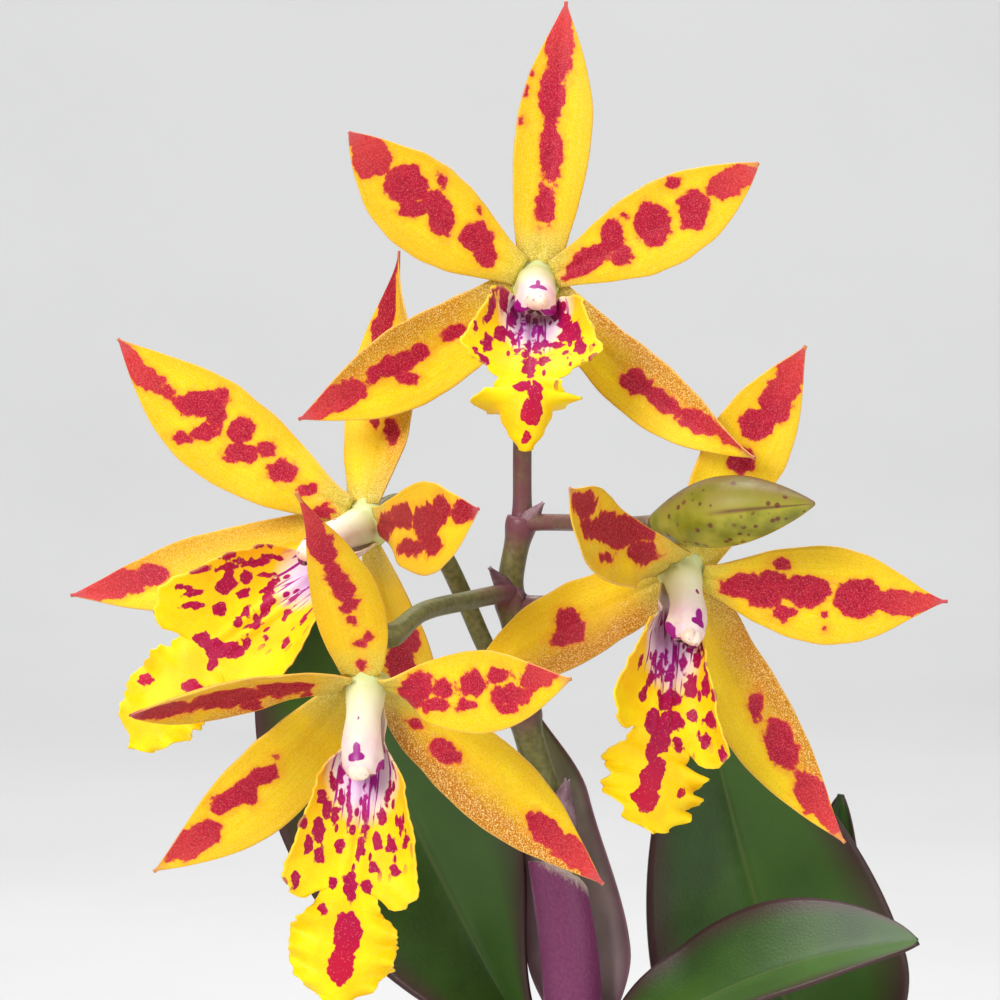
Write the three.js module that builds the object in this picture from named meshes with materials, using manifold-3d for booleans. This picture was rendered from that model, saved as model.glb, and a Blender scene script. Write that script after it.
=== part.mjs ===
// A potted epicatanthe orchid: four spotted yellow blooms and a bud on one spray, leaves, canes,
// rhizome and roots in bark, in a plain clay pot. Millimetres, +Z up, the origin is the middle of
// the pot's base, and the blooms look towards -Y.
import * as THREE from "three";
import { mergeVertices } from "three/addons/utils/BufferGeometryUtils.js";
import Module from "manifold-3d";

// Driving dimensions
const POT_HEIGHT = 100;
const POT_TOP_RADIUS = 58;
const POT_BASE_RADIUS = 43;
const POT_WALL = 5;
const POT_RIM_HEIGHT = 18;
const POT_RIM_PROUD = 3.5;
const DRAIN_RADIUS = 5;
const DRAIN_RING = 24;
const DRAIN_HOLES = 3;
const BARK_TOP = 86;
const BARK_CHIPS = 28;
const TURNED_SIDES = 32;
const GAP = 0.3;
const TEPAL_THICKNESS = 0.8;
const LIP_THICKNESS = 0.8;
const LEAF_THICKNESS = 1.6;
const SHEATH_THICKNESS = 0.8;
const COLUMN_RADIUS = 3.4;
const COLUMN_LENGTH = 17;
const TEPAL_ROOT = COLUMN_RADIUS + 0.6;
const OUTER_WHORL = -1.3;
const INNER_WHORL = -0.1;
const OVARY_RADIUS = 3.0;
const PEDICEL_RADIUS = 1.9;
const RHIZOME_RADIUS = 4.5;
const RHIZOME_HEIGHT = BARK_TOP + 3.5;
const CANE_RADIUS = 10;
const ROOT_RADIUS = 1.8;

const wasm = await Module();
wasm.setup();

const V = (p) => new THREE.Vector3(...p);
const lerp = THREE.MathUtils.lerp;
const clamp01 = (x) => Math.min(1, Math.max(0, x));

// A vector turned so that it stands square to a unit direction.
const squareTo = (v, direction) =>
  v.clone().addScaledVector(direction, -v.dot(direction)).normalize();

// Value at x on a line through hand-chosen [position, value] points, eased between them.
function profile(points, x) {
  let k = 1;
  while (k < points.length - 1 && x > points[k][0]) k += 1;
  const [x0, y0] = points[k - 1];
  const [x1, y1] = points[k];
  return lerp(y0, y1, THREE.MathUtils.smoothstep(x, x0, x1));
}

// Share of a blade's full width at t: it rises from the root share to the widest place, then
// tapers to the tip.
function widthShare({ root, swell, widest, taper }, t) {
  if (t < widest) return lerp(root, 1, Math.sin((Math.PI / 2) * (t / widest)) ** swell);
  return Math.cos((Math.PI / 2) * ((t - widest) / (1 - widest))) ** taper;
}

// One closed surface from a list of points and triangles, turned to face outwards.
function closedSurface(points, faces) {
  let volume = 0;
  for (const [a, b, c] of faces) {
    volume += points[a].dot(points[b].clone().cross(points[c]));
  }
  const turned = volume < 0 ? faces.map(([a, b, c]) => [a, c, b]) : faces;
  const geometry = new THREE.BufferGeometry();
  const flat = points.flatMap((p) => [p.x, p.y, p.z]);
  geometry.setAttribute("position", new THREE.Float32BufferAttribute(flat, 3));
  geometry.setIndex(turned.flat());
  return geometry;
}

// A thin blade: a middle surface at(t, s), t from root to tip and s from edge to edge, given a
// thickness and split into triangles alike on both faces. Its rows may be spread unevenly.
function blade(rows, columns, thickness, at, spread = (t) => t) {
  const points = [];
  const faces = [];
  const step = 0.01;
  const size = (rows + 1) * (columns + 1);
  for (const side of [0.5, -0.5]) {
    for (let i = 0; i <= rows; i += 1) {
      for (let j = 0; j <= columns; j += 1) {
        const t = spread(i / rows);
        const s = (2 * j) / columns - 1;
        const along = at(Math.min(1, t + step), s).sub(at(Math.max(0, t - step), s));
        const across = at(t, Math.min(1, s + step)).sub(at(t, Math.max(-1, s - step)));
        const normal = across.cross(along).normalize();
        points.push(at(t, s).addScaledVector(normal, side * thickness));
      }
    }
  }
  const id = (i, j) => i * (columns + 1) + j;
  for (let i = 0; i < rows; i += 1) {
    for (let j = 0; j < columns; j += 1) {
      const [a, b, c, d] = [id(i, j), id(i, j + 1), id(i + 1, j + 1), id(i + 1, j)];
      faces.push([a, b, c], [a, c, d]);
      faces.push([a + size, c + size, b + size], [a + size, d + size, c + size]);
    }
  }
  const rim = [];
  for (let j = 0; j < columns; j += 1) rim.push(id(0, j));
  for (let i = 0; i < rows; i += 1) rim.push(id(i, columns));
  for (let j = columns; j > 0; j -= 1) rim.push(id(rows, j));
  for (let i = rows; i > 0; i -= 1) rim.push(id(i, 0));
  rim.forEach((a, k) => {
    const b = rim[(k + 1) % rim.length];
    faces.push([b, a, a + size], [b, a + size, b + size]);
  });
  return closedSurface(points, faces);
}

// A round stem along a smooth curve, its radius following a profile from 0 to 1.
function stem(path, radii, steps, sides) {
  const curve = new THREE.CatmullRomCurve3(path.map(V));
  const frames = curve.computeFrenetFrames(steps, false);
  const points = [];
  const faces = [];
  for (let i = 0; i <= steps; i += 1) {
    const centre = curve.getPointAt(i / steps);
    const radius = typeof radii === "number" ? radii : profile(radii, i / steps);
    for (let j = 0; j < sides; j += 1) {
      const turn = (2 * Math.PI * j) / sides;
      points.push(
        centre
          .clone()
          .addScaledVector(frames.normals[i], radius * Math.cos(turn))
          .addScaledVector(frames.binormals[i], radius * Math.sin(turn)),
      );
    }
  }
  const last = steps * sides;
  for (let j = 0; j < sides; j += 1) {
    const next = (j + 1) % sides;
    for (let i = 0; i < last; i += sides) {
      faces.push([i + j, i + next, i + sides + next], [i + j, i + sides + next, i + sides + j]);
    }
    if (j > 0 && j < sides - 1) {
      faces.push([0, j + 1, j], [last, last + j, last + j + 1]);
    }
  }
  return closedSurface(points, faces);
}

// A turned solid from its outline of [radius, height] points, its seam and axis points merged.
function closedLathe(outline) {
  const profilePoints = outline.map(([r, z]) => new THREE.Vector2(r, z));
  const geometry = new THREE.LatheGeometry(profilePoints, TURNED_SIDES).rotateX(Math.PI / 2);
  for (const name of ["normal", "uv"]) geometry.deleteAttribute(name);
  const merged = mergeVertices(geometry, 1e-3);
  const corner = merged.attributes.position;
  const points = Array.from({ length: corner.count }, (_, i) =>
    new THREE.Vector3().fromBufferAttribute(corner, i),
  );
  const faces = [];
  for (let i = 0; i < merged.index.count; i += 3) {
    const face = [0, 1, 2].map((k) => merged.index.getX(i + k));
    if (new Set(face).size === 3) faces.push(face);
  }
  return closedSurface(points, faces);
}

// Solids for joining and cutting.
function solid(geometry) {
  const bare = geometry.clone();
  for (const name of ["normal", "uv"]) bare.deleteAttribute(name);
  const merged = mergeVertices(bare, 1e-4);
  return new wasm.Manifold(
    new wasm.Mesh({
      numProp: 3,
      vertProperties: new Float32Array(merged.attributes.position.array),
      triVerts: new Uint32Array(merged.index.array),
    }),
  );
}

function surfaceOf(body) {
  const mesh = body.getMesh();
  const geometry = new THREE.BufferGeometry();
  geometry.setAttribute("position", new THREE.Float32BufferAttribute(mesh.vertProperties, 3));
  geometry.setIndex([...mesh.triVerts]);
  return geometry;
}

const joined = (geometries) =>
  surfaceOf(geometries.map(solid).reduce((whole, piece) => whole.add(piece)));

const orchid = new THREE.Group();

function place(name, geometry, colour, roughness) {
  const shaded = geometry.index ? geometry.toNonIndexed() : geometry;
  shaded.computeVertexNormals();
  const material = new THREE.MeshStandardMaterial({ color: colour, roughness, metalness: 0 });
  const mesh = new THREE.Mesh(shaded, material);
  mesh.name = name;
  orchid.add(mesh);
}

// Blooms. Three sepals stand in an outer whorl, two petals and the lip in an inner one, round the
// foot of the column. Each tepal has its tip, the offset of its middle from the straight line
// (bow), the way its upper face looks, its turn from root to tip in degrees, its width, and how
// far its edges roll up towards that face (cup, in radians from the midline to the edge). Where a
// tepal departs from its kind's outline, it has its own root share, widest place or taper.
const YELLOW = 0xf7c708;
const SEPAL_OUTLINE = { root: 0.48, swell: 1, widest: 0.5, taper: 1.05 };
const PETAL_OUTLINE = { root: 0.26, swell: 1.35, widest: 0.54, taper: 1 };
const TEPALS = ["dorsal_sepal", "left_sepal", "right_sepal", "left_petal", "right_petal"];

const BLOOMS = [
  {
    name: "top",
    heart: [7, -12, 368.5],
    facing: [0, -0.98, -0.16],
    dorsal_sepal: {
      tip: [13, -6, 424], bow: [0.3, -2, 0], face: [0, -1, 0.1], width: 15.3, cup: 0.35,
    },
    left_sepal: {
      tip: [-39, -26, 343], bow: [0.5, 2, -2], face: [0, -1, 0.1], width: 16.5, cup: 0.35,
    },
    right_sepal: {
      tip: [49, -34, 336], bow: [-1.2, 4, -3], face: [0.1, -1, 0.2], turn: 40, width: 13, cup: 0.3,
    },
    left_petal: {
      tip: [-29, -28, 398.5], bow: [-1, 1, -2], face: [0, -1, 0], width: 18.5, cup: 0.3,
    },
    right_petal: {
      tip: [50, -24, 392.5], bow: [0.5, 1, -1.5], face: [0, -1, 0], width: 17, cup: 0.3,
    },
    lip: {
      tip: [5, -41, 338], hang: [0, 0.3, -1], reach: [22, 17], face: [0, -1, -0.15],
      tuck: 2.3, skew: 0.05, size: 1,
    },
  },
  {
    name: "left",
    heart: [-27, -18, 321.5],
    facing: [-0.6, -0.75, -0.25],
    dorsal_sepal: {
      tip: [-20, -7, 375], bow: [1.2, 3, 0], face: [-0.3, -0.95, 0], turn: -65, width: 15.5, cup: 0.4,
    },
    left_sepal: {
      tip: [-85.5, -6, 306.5], bow: [0, 4, -2.5], face: [0, -0.9, 0.4], width: 15.5, cup: 0.3,
    },
    right_sepal: {
      tip: [-11, -3, 272], bow: [-0.5, 3, 0], face: [-0.5, -0.85, 0], width: 13, cup: 0.3, root: 0.36,
    },
    left_petal: {
      tip: [-75, -14, 358], bow: [-0.9, 2, -2.9], face: [0, -1, 0.1], width: 19, cup: 0.25,
    },
    right_petal: {
      tip: [-4, -64, 329], bow: [0, -6, -2], face: [-0.9, -0.45, 0], width: 18, cup: 0.3,
    },
    lip: {
      tip: [-68, -42, 281], hang: [-0.25, 0.05, -0.97], reach: [24, 19], face: [-0.3, -0.93, 0.15],
      tuck: 0.3, skew: 0, size: 1.12,
    },
  },
  {
    name: "right",
    heart: [35.5, -24, 312],
    facing: [0.06, -0.8, -0.6],
    dorsal_sepal: {
      tip: [59.5, -22, 357], bow: [-0.5, 3, 0.5], face: [0, -1, 0], width: 16.5, cup: 0.35,
    },
    left_sepal: {
      tip: [-8, -22, 289.5], bow: [0.5, 3, 0.5], face: [0, -0.9, 0.35], width: 16, cup: 0.3, root: 0.6,
    },
    right_sepal: {
      tip: [67.5, -26, 260], bow: [-3, 3, -1.2], face: [0.5, -0.85, 0], width: 16.5, cup: 0.3,
    },
    left_petal: {
      tip: [13, -66, 333], bow: [-4, -5, -1.9], face: [0.85, -0.5, 0.1], width: 16.5, cup: 0.35,
      root: 0.35, widest: 0.6,
    },
    right_petal: {
      tip: [87.5, -22, 307], bow: [-1, -1, -0.8], face: [0, -1, 0], width: 19.5, cup: 0.25, taper: 1.25,
    },
    lip: {
      tip: [31, -45, 265], hang: [0.1, 0.1, -1], reach: [20, 18], face: [0.5, -0.87, 0.1],
      tuck: 0.6, skew: -0.22, size: 1,
    },
  },
  {
    name: "front",
    heart: [-25.5, -46, 292.5],
    facing: [-0.06, -0.55, -0.83],
    dorsal_sepal: {
      tip: [-37, -83, 333.5], bow: [2, 2, 0], face: [0.1, -0.8, -0.6], width: 13.5, cup: -0.5,
      widest: 0.34, taper: 1.4,
    },
    left_sepal: {
      tip: [-67, -36, 256], bow: [2.3, 3, -2], face: [0, -1, 0], width: 16, cup: 0.3,
    },
    right_sepal: {
      tip: [20, -36, 253.5], bow: [-0.5, 3, 0.5], face: [0, -1, 0.1], width: 16, cup: 0.3,
    },
    left_petal: {
      tip: [-68.5, -70, 291], bow: [0, 2, 2.2], face: [0, -0.55, -0.8], width: 17.5, cup: 0.45,
    },
    right_petal: {
      tip: [13, -75, 298.5], bow: [0, 2, -2], face: [0, -1, 0.1], width: 15.8, cup: 0.3,
    },
    lip: {
      tip: [-30.5, -53, 233.5], hang: [0, 0.1, -1], reach: [20, 18], face: [0, -1, 0.05],
      tuck: 0.3, skew: 0, size: 0.95,
    },
  },
];

// The unit directions of a bloom: the way it looks, and the way up to its dorsal sepal.
function bloomAxes(bloom) {
  const heart = V(bloom.heart);
  const out = V(bloom.facing).normalize();
  const up = squareTo(V(bloom.dorsal_sepal.tip).sub(heart), out);
  return { heart, out, up };
}

function tepalGeometry(bloom, part) {
  const { heart, out } = bloomAxes(bloom);
  const spec = bloom[part];
  const sepal = part.endsWith("sepal");
  const outline = { turn: 0, ...(sepal ? SEPAL_OUTLINE : PETAL_OUTLINE), ...spec };
  const tip = V(spec.tip);
  const root = heart
    .clone()
    .addScaledVector(squareTo(tip.clone().sub(heart), out), TEPAL_ROOT)
    .addScaledVector(out, sepal ? OUTER_WHORL : INNER_WHORL);
  const bend = root.clone().add(tip).multiplyScalar(0.5).addScaledVector(V(spec.bow), 2);
  const curve = new THREE.QuadraticBezierCurve3(root, bend, tip);
  const facing = V(spec.face).normalize();
  const at = (t, s) => {
    const along = curve.getTangent(t);
    const blend = THREE.MathUtils.smoothstep(t, 0, 0.3);
    const normal = squareTo(out.clone().lerp(facing, blend), along);
    normal.applyAxisAngle(along, THREE.MathUtils.degToRad(outline.turn) * t * t);
    const across = along.clone().cross(normal);
    const half = Math.max(0.5, (spec.width / 2) * widthShare(outline, t));
    const roll = spec.cup * THREE.MathUtils.smoothstep(t, 0, 0.4) + 0.001;
    return curve
      .getPoint(t)
      .addScaledVector(across, (half * Math.sin(roll * s)) / roll)
      .addScaledVector(normal, (half * (1 - Math.cos(roll * s))) / roll);
  };
  return blade(10, 4, TEPAL_THICKNESS, at);
}

// The lip runs out under the column and hangs over. Its side lobes roll up beside the column and
// end in a notch, and a narrow waist joins them to the frilled middle lobe.
const LIP_HALF_WIDTH = [
  [0, 2.6],
  [0.12, 5],
  [0.28, 11.5],
  [0.42, 13.5],
  [0.54, 14.8],
  [0.58, 14],
  [0.61, 5.4],
  [0.65, 6.2],
  [0.73, 10.8],
  [0.86, 10.8],
  [0.94, 7.4],
  [1, 2.6],
];
const LIP_ROLL = [
  [0, 0.4],
  [0.14, 1.35],
  [0.3, 1.2],
  [0.54, 0.6],
  [0.64, 0],
];
const WAIST = 0.61;
const FRILL_WAVES = 10;
const FRILL_HEIGHT = 1.2;
// Rows of the lip's mesh stand closer together in the frilled part.
const lipSpread = (u) => (u < 0.45 ? (u / 0.45) * 0.54 : 0.54 + ((u - 0.45) / 0.55) * 0.46);

function lipGeometry(bloom) {
  const { heart, out, up } = bloomAxes(bloom);
  const spec = bloom.lip;
  const tip = V(spec.tip);
  const root = heart
    .clone()
    .addScaledVector(up, -TEPAL_ROOT)
    .addScaledVector(out, INNER_WHORL);
  const first = root.clone().addScaledVector(out, spec.reach[0]).addScaledVector(up, -4.5);
  const second = tip.clone().addScaledVector(V(spec.hang).normalize(), -spec.reach[1]);
  const curve = new THREE.CubicBezierCurve3(root, first, second, tip);
  const facing = V(spec.face).normalize();
  const at = (t, s) => {
    const along = curve.getTangent(t);
    const blend = THREE.MathUtils.smoothstep(t, 0, 0.5);
    const normal = squareTo(up.clone().lerp(facing, blend), along);
    const across = along.clone().cross(normal);
    const half = spec.size * profile(LIP_HALF_WIDTH, t);
    const tuck = spec.tuck * THREE.MathUtils.smoothstep(t, 0.68, 0.82);
    const roll = profile(LIP_ROLL, Math.min(t, 0.64)) - tuck || 0.001;
    const lobes = THREE.MathUtils.smoothstep(t, 0.1, 0.5);
    const edge = Math.abs(s) ** 2.5 * clamp01((t - WAIST) * 12);
    const frill = FRILL_HEIGHT * edge * Math.sin(FRILL_WAVES * Math.PI * 2 * t + s);
    return curve
      .getPoint(t)
      .addScaledVector(across, (half * Math.sin(roll * s)) / roll)
      .addScaledVector(along, spec.skew * lobes * half * s)
      .addScaledVector(normal, (half * (1 - Math.cos(roll * s))) / roll + frill);
  };
  return blade(22, 6, LIP_THICKNESS, at, lipSpread);
}

function columnGeometry(bloom) {
  const { heart, out, up } = bloomAxes(bloom);
  const at = (reach, drop) =>
    heart.clone().addScaledVector(out, reach).addScaledVector(up, -drop).toArray();
  const path = [at(-2, 0), at(COLUMN_LENGTH / 2, -0.3), at(COLUMN_LENGTH, 1)];
  const radii = [
    [0, COLUMN_RADIUS],
    [0.35, COLUMN_RADIUS * 0.85],
    [0.7, COLUMN_RADIUS * 1.25],
    [0.9, COLUMN_RADIUS * 1.1],
    [1, COLUMN_RADIUS * 0.6],
  ];
  return stem(path, radii, 7, 8);
}

for (const bloom of BLOOMS) {
  for (const part of TEPALS) place(`${bloom.name}_${part}`, tepalGeometry(bloom, part), YELLOW, 0.5);
  place(`${bloom.name}_lip`, lipGeometry(bloom), 0xf2c81c, 0.5);
  place(`${bloom.name}_column`, columnGeometry(bloom), 0xf3ecd2, 0.45);
}

// Spray. The stalk climbs out of the flowering cane, and each bloom hangs on its own pedicel,
// which swells into an ovary just behind the bloom.
const STALK = [
  [15.5, 2, 208.8],
  [15, 3, 228],
  [13, 4, 246],
  [10, 5, 263],
  [5.5, 6, 278],
  [3.5, 6, 296],
  [2, 6, 306],
  [4.5, 6, 321],
];
const PEDICELS = {
  top: [
    [4.5, 6, 319],
    [4.5, 5, 336],
    [5, 4, 352],
    [6.3, 2, 364],
  ],
  left: [
    [5, 6, 281],
    [-2.5, 6, 294],
    [-7, 3, 304.5],
    [-12, -2, 315],
    [-18, -7, 321.5],
  ],
  right: [
    [3, 6, 303],
    [15, 5, 304],
    [26, 0, 309],
    [33, -10, 317],
  ],
  front: [
    [2.5, 6, 306],
    [-6, -6, 305.5],
    [-15.5, -24, 305],
    [-21, -36, 302],
  ],
};
const BUD_PEDICEL = [
  [4.5, 6, 320],
  [12, 0, 320.5],
  [20, -13, 321.5],
  [25.5, -21.8, 322],
  [29.8, -25.2, 322.6],
];
const STALK_RADII = [
  [0, 3.6],
  [0.5, 3.1],
  [1, 2.6],
];
const NODE_BRACTS = [
  { root: [3.2, 5, 304], tip: [-3, 0, 313], width: 6 },
  { root: [4.5, 5, 319], tip: [9.5, 1, 325.5], width: 5 },
  { root: [4.5, 6, 300], tip: [8.5, 2, 305], width: 4 },
  { root: [11, 4, 256], tip: [13.5, 0, 268], width: 9 },
];

function bractGeometry(bract) {
  const root = V(bract.root);
  const tip = V(bract.tip);
  const along = tip.clone().sub(root).normalize();
  const normal = squareTo(V([0, -1, 0]), along);
  const across = along.clone().cross(normal);
  const at = (t, s) =>
    root
      .clone()
      .lerp(tip, t)
      .addScaledVector(across, (bract.width / 2) * s * Math.max(0.12, 1 - t ** 1.5))
      .addScaledVector(normal, bract.width * (0.25 * (1 - t) - 0.2 * s * s));
  return blade(3, 4, SHEATH_THICKNESS, at);
}

function sprayGeometry() {
  const pieces = [stem(STALK, STALK_RADII, 16, 8)];
  for (const bloom of BLOOMS) {
    const { heart, out } = bloomAxes(bloom);
    const end = heart.clone().addScaledVector(out, -2 - GAP);
    const before = end.clone().addScaledVector(out, -9);
    const path = [...PEDICELS[bloom.name], before.toArray(), end.toArray()];
    const radii = [
      [0, PEDICEL_RADIUS],
      [0.6, PEDICEL_RADIUS],
      [1, OVARY_RADIUS],
    ];
    pieces.push(stem(path, radii, 11, 6));
  }
  pieces.push(stem(BUD_PEDICEL, PEDICEL_RADIUS * 0.9, 6, 6));
  pieces.push(...NODE_BRACTS.map(bractGeometry));
  return joined(pieces);
}
place("flower_spray", sprayGeometry(), 0x6f7038, 0.5);

// Bud: a fat spindle that has not opened yet.
const BUD_RADII = [
  [0, 1.8],
  [0.2, 4.4],
  [0.5, 6.9],
  [0.75, 4.8],
  [1, 0.5],
];
const BUD_PATH = [
  [30.3, -25.55, 322.7],
  [45.5, -36, 326.3],
  [60, -42, 328],
];
place("bud", stem(BUD_PATH, BUD_RADII, 10, 10), 0xb5b53c, 0.5);

// Leaves: thick straps folded along the midrib.
const LEAVES = [
  {
    name: "leaf_left",
    root: [8, 10, 209.8], tip: [-40, 14, 312], bow: [-3.5, 9, 0], face: [-0.35, -0.9, 0.1],
    width: 53, fold: 0.4,
  },
  {
    name: "leaf_low_right",
    root: [22, -3.6, 210.5], tip: [83, -14, 238], bow: [-3, -3, 5], face: [0, -0.3, 0.95],
    width: 42, fold: 0.3,
  },
  {
    name: "leaf_right",
    root: [69, 18, 189.3], tip: [41, 20, 286], bow: [-1.5, 5, -0.7], face: [0.1, -1, 0.1],
    width: 54, fold: 0.25, widest: 0.34, taper: 0.78,
  },
  {
    name: "leaf_right_back",
    root: [70.5, 24, 189.2], tip: [71, 33, 260.5], bow: [-2, 3, 0], face: [0.1, -1, 0],
    width: 15, fold: 0.35,
  },
  {
    name: "leaf_far_left",
    root: [-35, 29, 183.7], tip: [-94, 52, 180], bow: [0, 2, 9], face: [0, -0.2, 1],
    width: 44, fold: 0.4,
  },
  {
    name: "leaf_back",
    root: [23, 45, 181.7], tip: [48, 112, 180], bow: [0, 2, 9], face: [-0.2, 0, 1],
    width: 42, fold: 0.4,
  },
];
const LEAF_OUTLINE = { root: 0.2, swell: 1, widest: 0.5, taper: 0.62 };

function leafGeometry(leaf) {
  const outline = { ...LEAF_OUTLINE, ...leaf, root: LEAF_OUTLINE.root };
  const root = V(leaf.root);
  const tip = V(leaf.tip);
  const bend = root.clone().add(tip).multiplyScalar(0.5).addScaledVector(V(leaf.bow), 2);
  const curve = new THREE.QuadraticBezierCurve3(root, bend, tip);
  const facing = V(leaf.face).normalize();
  const at = (t, s) => {
    const along = curve.getTangent(t);
    const normal = squareTo(facing, along);
    const across = along.clone().cross(normal);
    const half = Math.max(1, (leaf.width / 2) * widthShare(outline, t));
    const fold = lerp(0.9, leaf.fold, THREE.MathUtils.smoothstep(t, 0, 0.35));
    return curve
      .getPoint(t)
      .addScaledVector(across, half * s * Math.cos(fold))
      .addScaledVector(normal, half * Math.abs(s) * Math.sin(fold));
  };
  return blade(10, 4, LEAF_THICKNESS, at);
}
for (const leaf of LEAVES) place(leaf.name, leafGeometry(leaf), 0x2f4a1e, 0.4);

// Spathe and young leaf: sheets rolled part way round the stalk. The rim of the spathe is cut
// slanting, and the young leaf stands close behind the stalk.
const SHEATHS = [
  {
    name: "spathe",
    path: [[14.2, -3.7, 209.2], [14.6, -2.9, 231], [10.2, -1, 252.5]],
    half: [[0, 10.8], [0.6, 10.8], [1, 10]],
    face: [0.15, 1, 0], roll: 1.9, slant: 0.2, colour: 0x7a3a66,
  },
  {
    name: "young_leaf",
    path: [[17, 8, 209.2], [17.5, 14, 246], [4, 15.5, 285]],
    half: [[0, 4.5], [0.3, 12], [0.7, 8.5], [1, 1.2]],
    face: [0, -1, 0], roll: 0.9, slant: 0, colour: 0x5a6a35,
  },
];

function sheathGeometry(sheath) {
  const curve = new THREE.QuadraticBezierCurve3(...sheath.path.map(V));
  const facing = V(sheath.face).normalize();
  const at = (t, s) => {
    const shifted = clamp01(t * (1 + sheath.slant * s));
    const along = curve.getTangent(shifted);
    const normal = squareTo(facing, along);
    const across = along.clone().cross(normal);
    const half = profile(sheath.half, t);
    return curve
      .getPoint(shifted)
      .addScaledVector(across, (half * Math.sin(sheath.roll * s)) / sheath.roll)
      .addScaledVector(normal, (half * (1 - Math.cos(sheath.roll * s))) / sheath.roll);
  };
  return blade(8, 8, SHEATH_THICKNESS, at);
}
for (const sheath of SHEATHS) place(sheath.name, sheathGeometry(sheath), sheath.colour, 0.45);

// Canes: spindle-shaped pseudobulbs that rise from the rhizome.
const CANES = [
  { foot: [4, 0], top: [15.5, 3, 208], swell: 1, apex: 0.85 },
  { foot: [30, 8], top: [69.5, 20.5, 188.5], swell: 1, apex: 0.65 },
  { foot: [-18, 10], top: [-35, 29, 182.5], swell: 0.95, apex: 0.5 },
  { foot: [14, 22], top: [23, 44, 180.5], swell: 0.9, apex: 0.5 },
  { foot: [-36, -6], top: [-46, -16, 158], swell: 0.85, apex: 0.3 },
];
const CANE_SHAPE = [
  [0, 0.45],
  [0.4, 1],
  [0.75, 0.75],
];
CANES.forEach((cane, i) => {
  const [x, y] = cane.foot;
  const base = RHIZOME_HEIGHT + RHIZOME_RADIUS + GAP;
  const [tx, ty, tz] = cane.top;
  const path = [
    [x, y, base],
    [x, y, base + 8],
    [lerp(x, tx, 0.45), lerp(y, ty, 0.45), lerp(base, tz, 0.5)],
    [tx, ty, tz - 8],
    [tx, ty, tz],
  ];
  const shape = [...CANE_SHAPE, [1, cane.apex]];
  const radii = shape.map(([t, r]) => [t, r * CANE_RADIUS * cane.swell]);
  place(`cane_${i + 1}`, stem(path, radii, 10, 10), 0x5d6b2c, 0.5);
});

// Rhizome and roots: a creeping stem, half sunk in the bark, that carries the canes. Roots leave it
// over the bark, and two of them have grown over the rim of the pot.
const RHIZOME_PATHS = [
  [[-40, -9], [-28, 4], [-18, 10], [-6, 5], [4, 0], [16, 3], [34, 10]],
  [[2, 1], [8, 12], [16, 25]],
];
const ROOT_HEIGHT = BARK_TOP + 1.6;
const OVER_RIM = POT_HEIGHT + ROOT_RADIUS + 5 * GAP;
const OUTSIDE_RIM = POT_TOP_RADIUS + POT_RIM_PROUD + ROOT_RADIUS + 2 * GAP;
const ROOT_PATHS = [
  [[-6, 4], [-9, -12], [-3, -26], [-12, -40]],
  [[-20, 9], [-30, 24], [-26, 36], [-14, 42]],
  [[33, 9], [40, 22], [34, 36]],
];
// Roots over the rim: where each leaves the rhizome, the compass angle at which it crosses the rim
// and how low its tip hangs.
const HANGING_ROOTS = [
  { from: [20, 4], angle: -38, low: 66 },
  { from: [-34, -4], angle: 205, low: 58 },
];

function hangingRoot({ from, angle, low }) {
  const turn = THREE.MathUtils.degToRad(angle);
  const reach = (radius, height) => [radius * Math.cos(turn), radius * Math.sin(turn), height];
  return [
    [...from, ROOT_HEIGHT],
    reach(44, ROOT_HEIGHT + 1),
    reach(POT_TOP_RADIUS - POT_WALL - 4, POT_HEIGHT - 4),
    reach(POT_TOP_RADIUS - 2, OVER_RIM + 1),
    reach(OUTSIDE_RIM - 1, OVER_RIM + 0.5),
    reach(OUTSIDE_RIM + 0.8, POT_HEIGHT - 6),
    reach(OUTSIDE_RIM + 0.5, POT_HEIGHT - POT_RIM_HEIGHT),
    reach(OUTSIDE_RIM - 1.5, low),
  ];
}

const ROOT_RADII = (radius) => [
  [0, radius],
  [0.9, radius * 0.9],
  [1, radius * 0.5],
];

// The rhizome with its roots, fatter by spare when it cuts its own bed in the bark.
function rhizomeGeometry(spare) {
  const stems = RHIZOME_PATHS.map((path) =>
    stem(path.map(([x, y]) => [x, y, RHIZOME_HEIGHT]), RHIZOME_RADIUS + spare, 10, 8),
  );
  const creeping = ROOT_PATHS.map((path) => path.map(([x, y]) => [x, y, ROOT_HEIGHT]));
  const roots = [...creeping, ...HANGING_ROOTS.map(hangingRoot)].map((path) =>
    stem(path, ROOT_RADII(ROOT_RADIUS + spare), 14, 5),
  );
  return joined([...stems, ...roots]);
}
place("rhizome", rhizomeGeometry(0), 0x6a5a34, 0.7);

// Bark: a bed of chips that fills the pot to just under its rim.
const BARK_SEED = 7;
const CHIP_SIZE = [18, 11, 6];

function seeded(seed) {
  let state = seed;
  return () => {
    state = (state * 16807) % 2147483647;
    return state / 2147483647;
  };
}

const innerRadius = (height) =>
  lerp(POT_BASE_RADIUS, POT_TOP_RADIUS, height / POT_HEIGHT) - POT_WALL;

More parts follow.
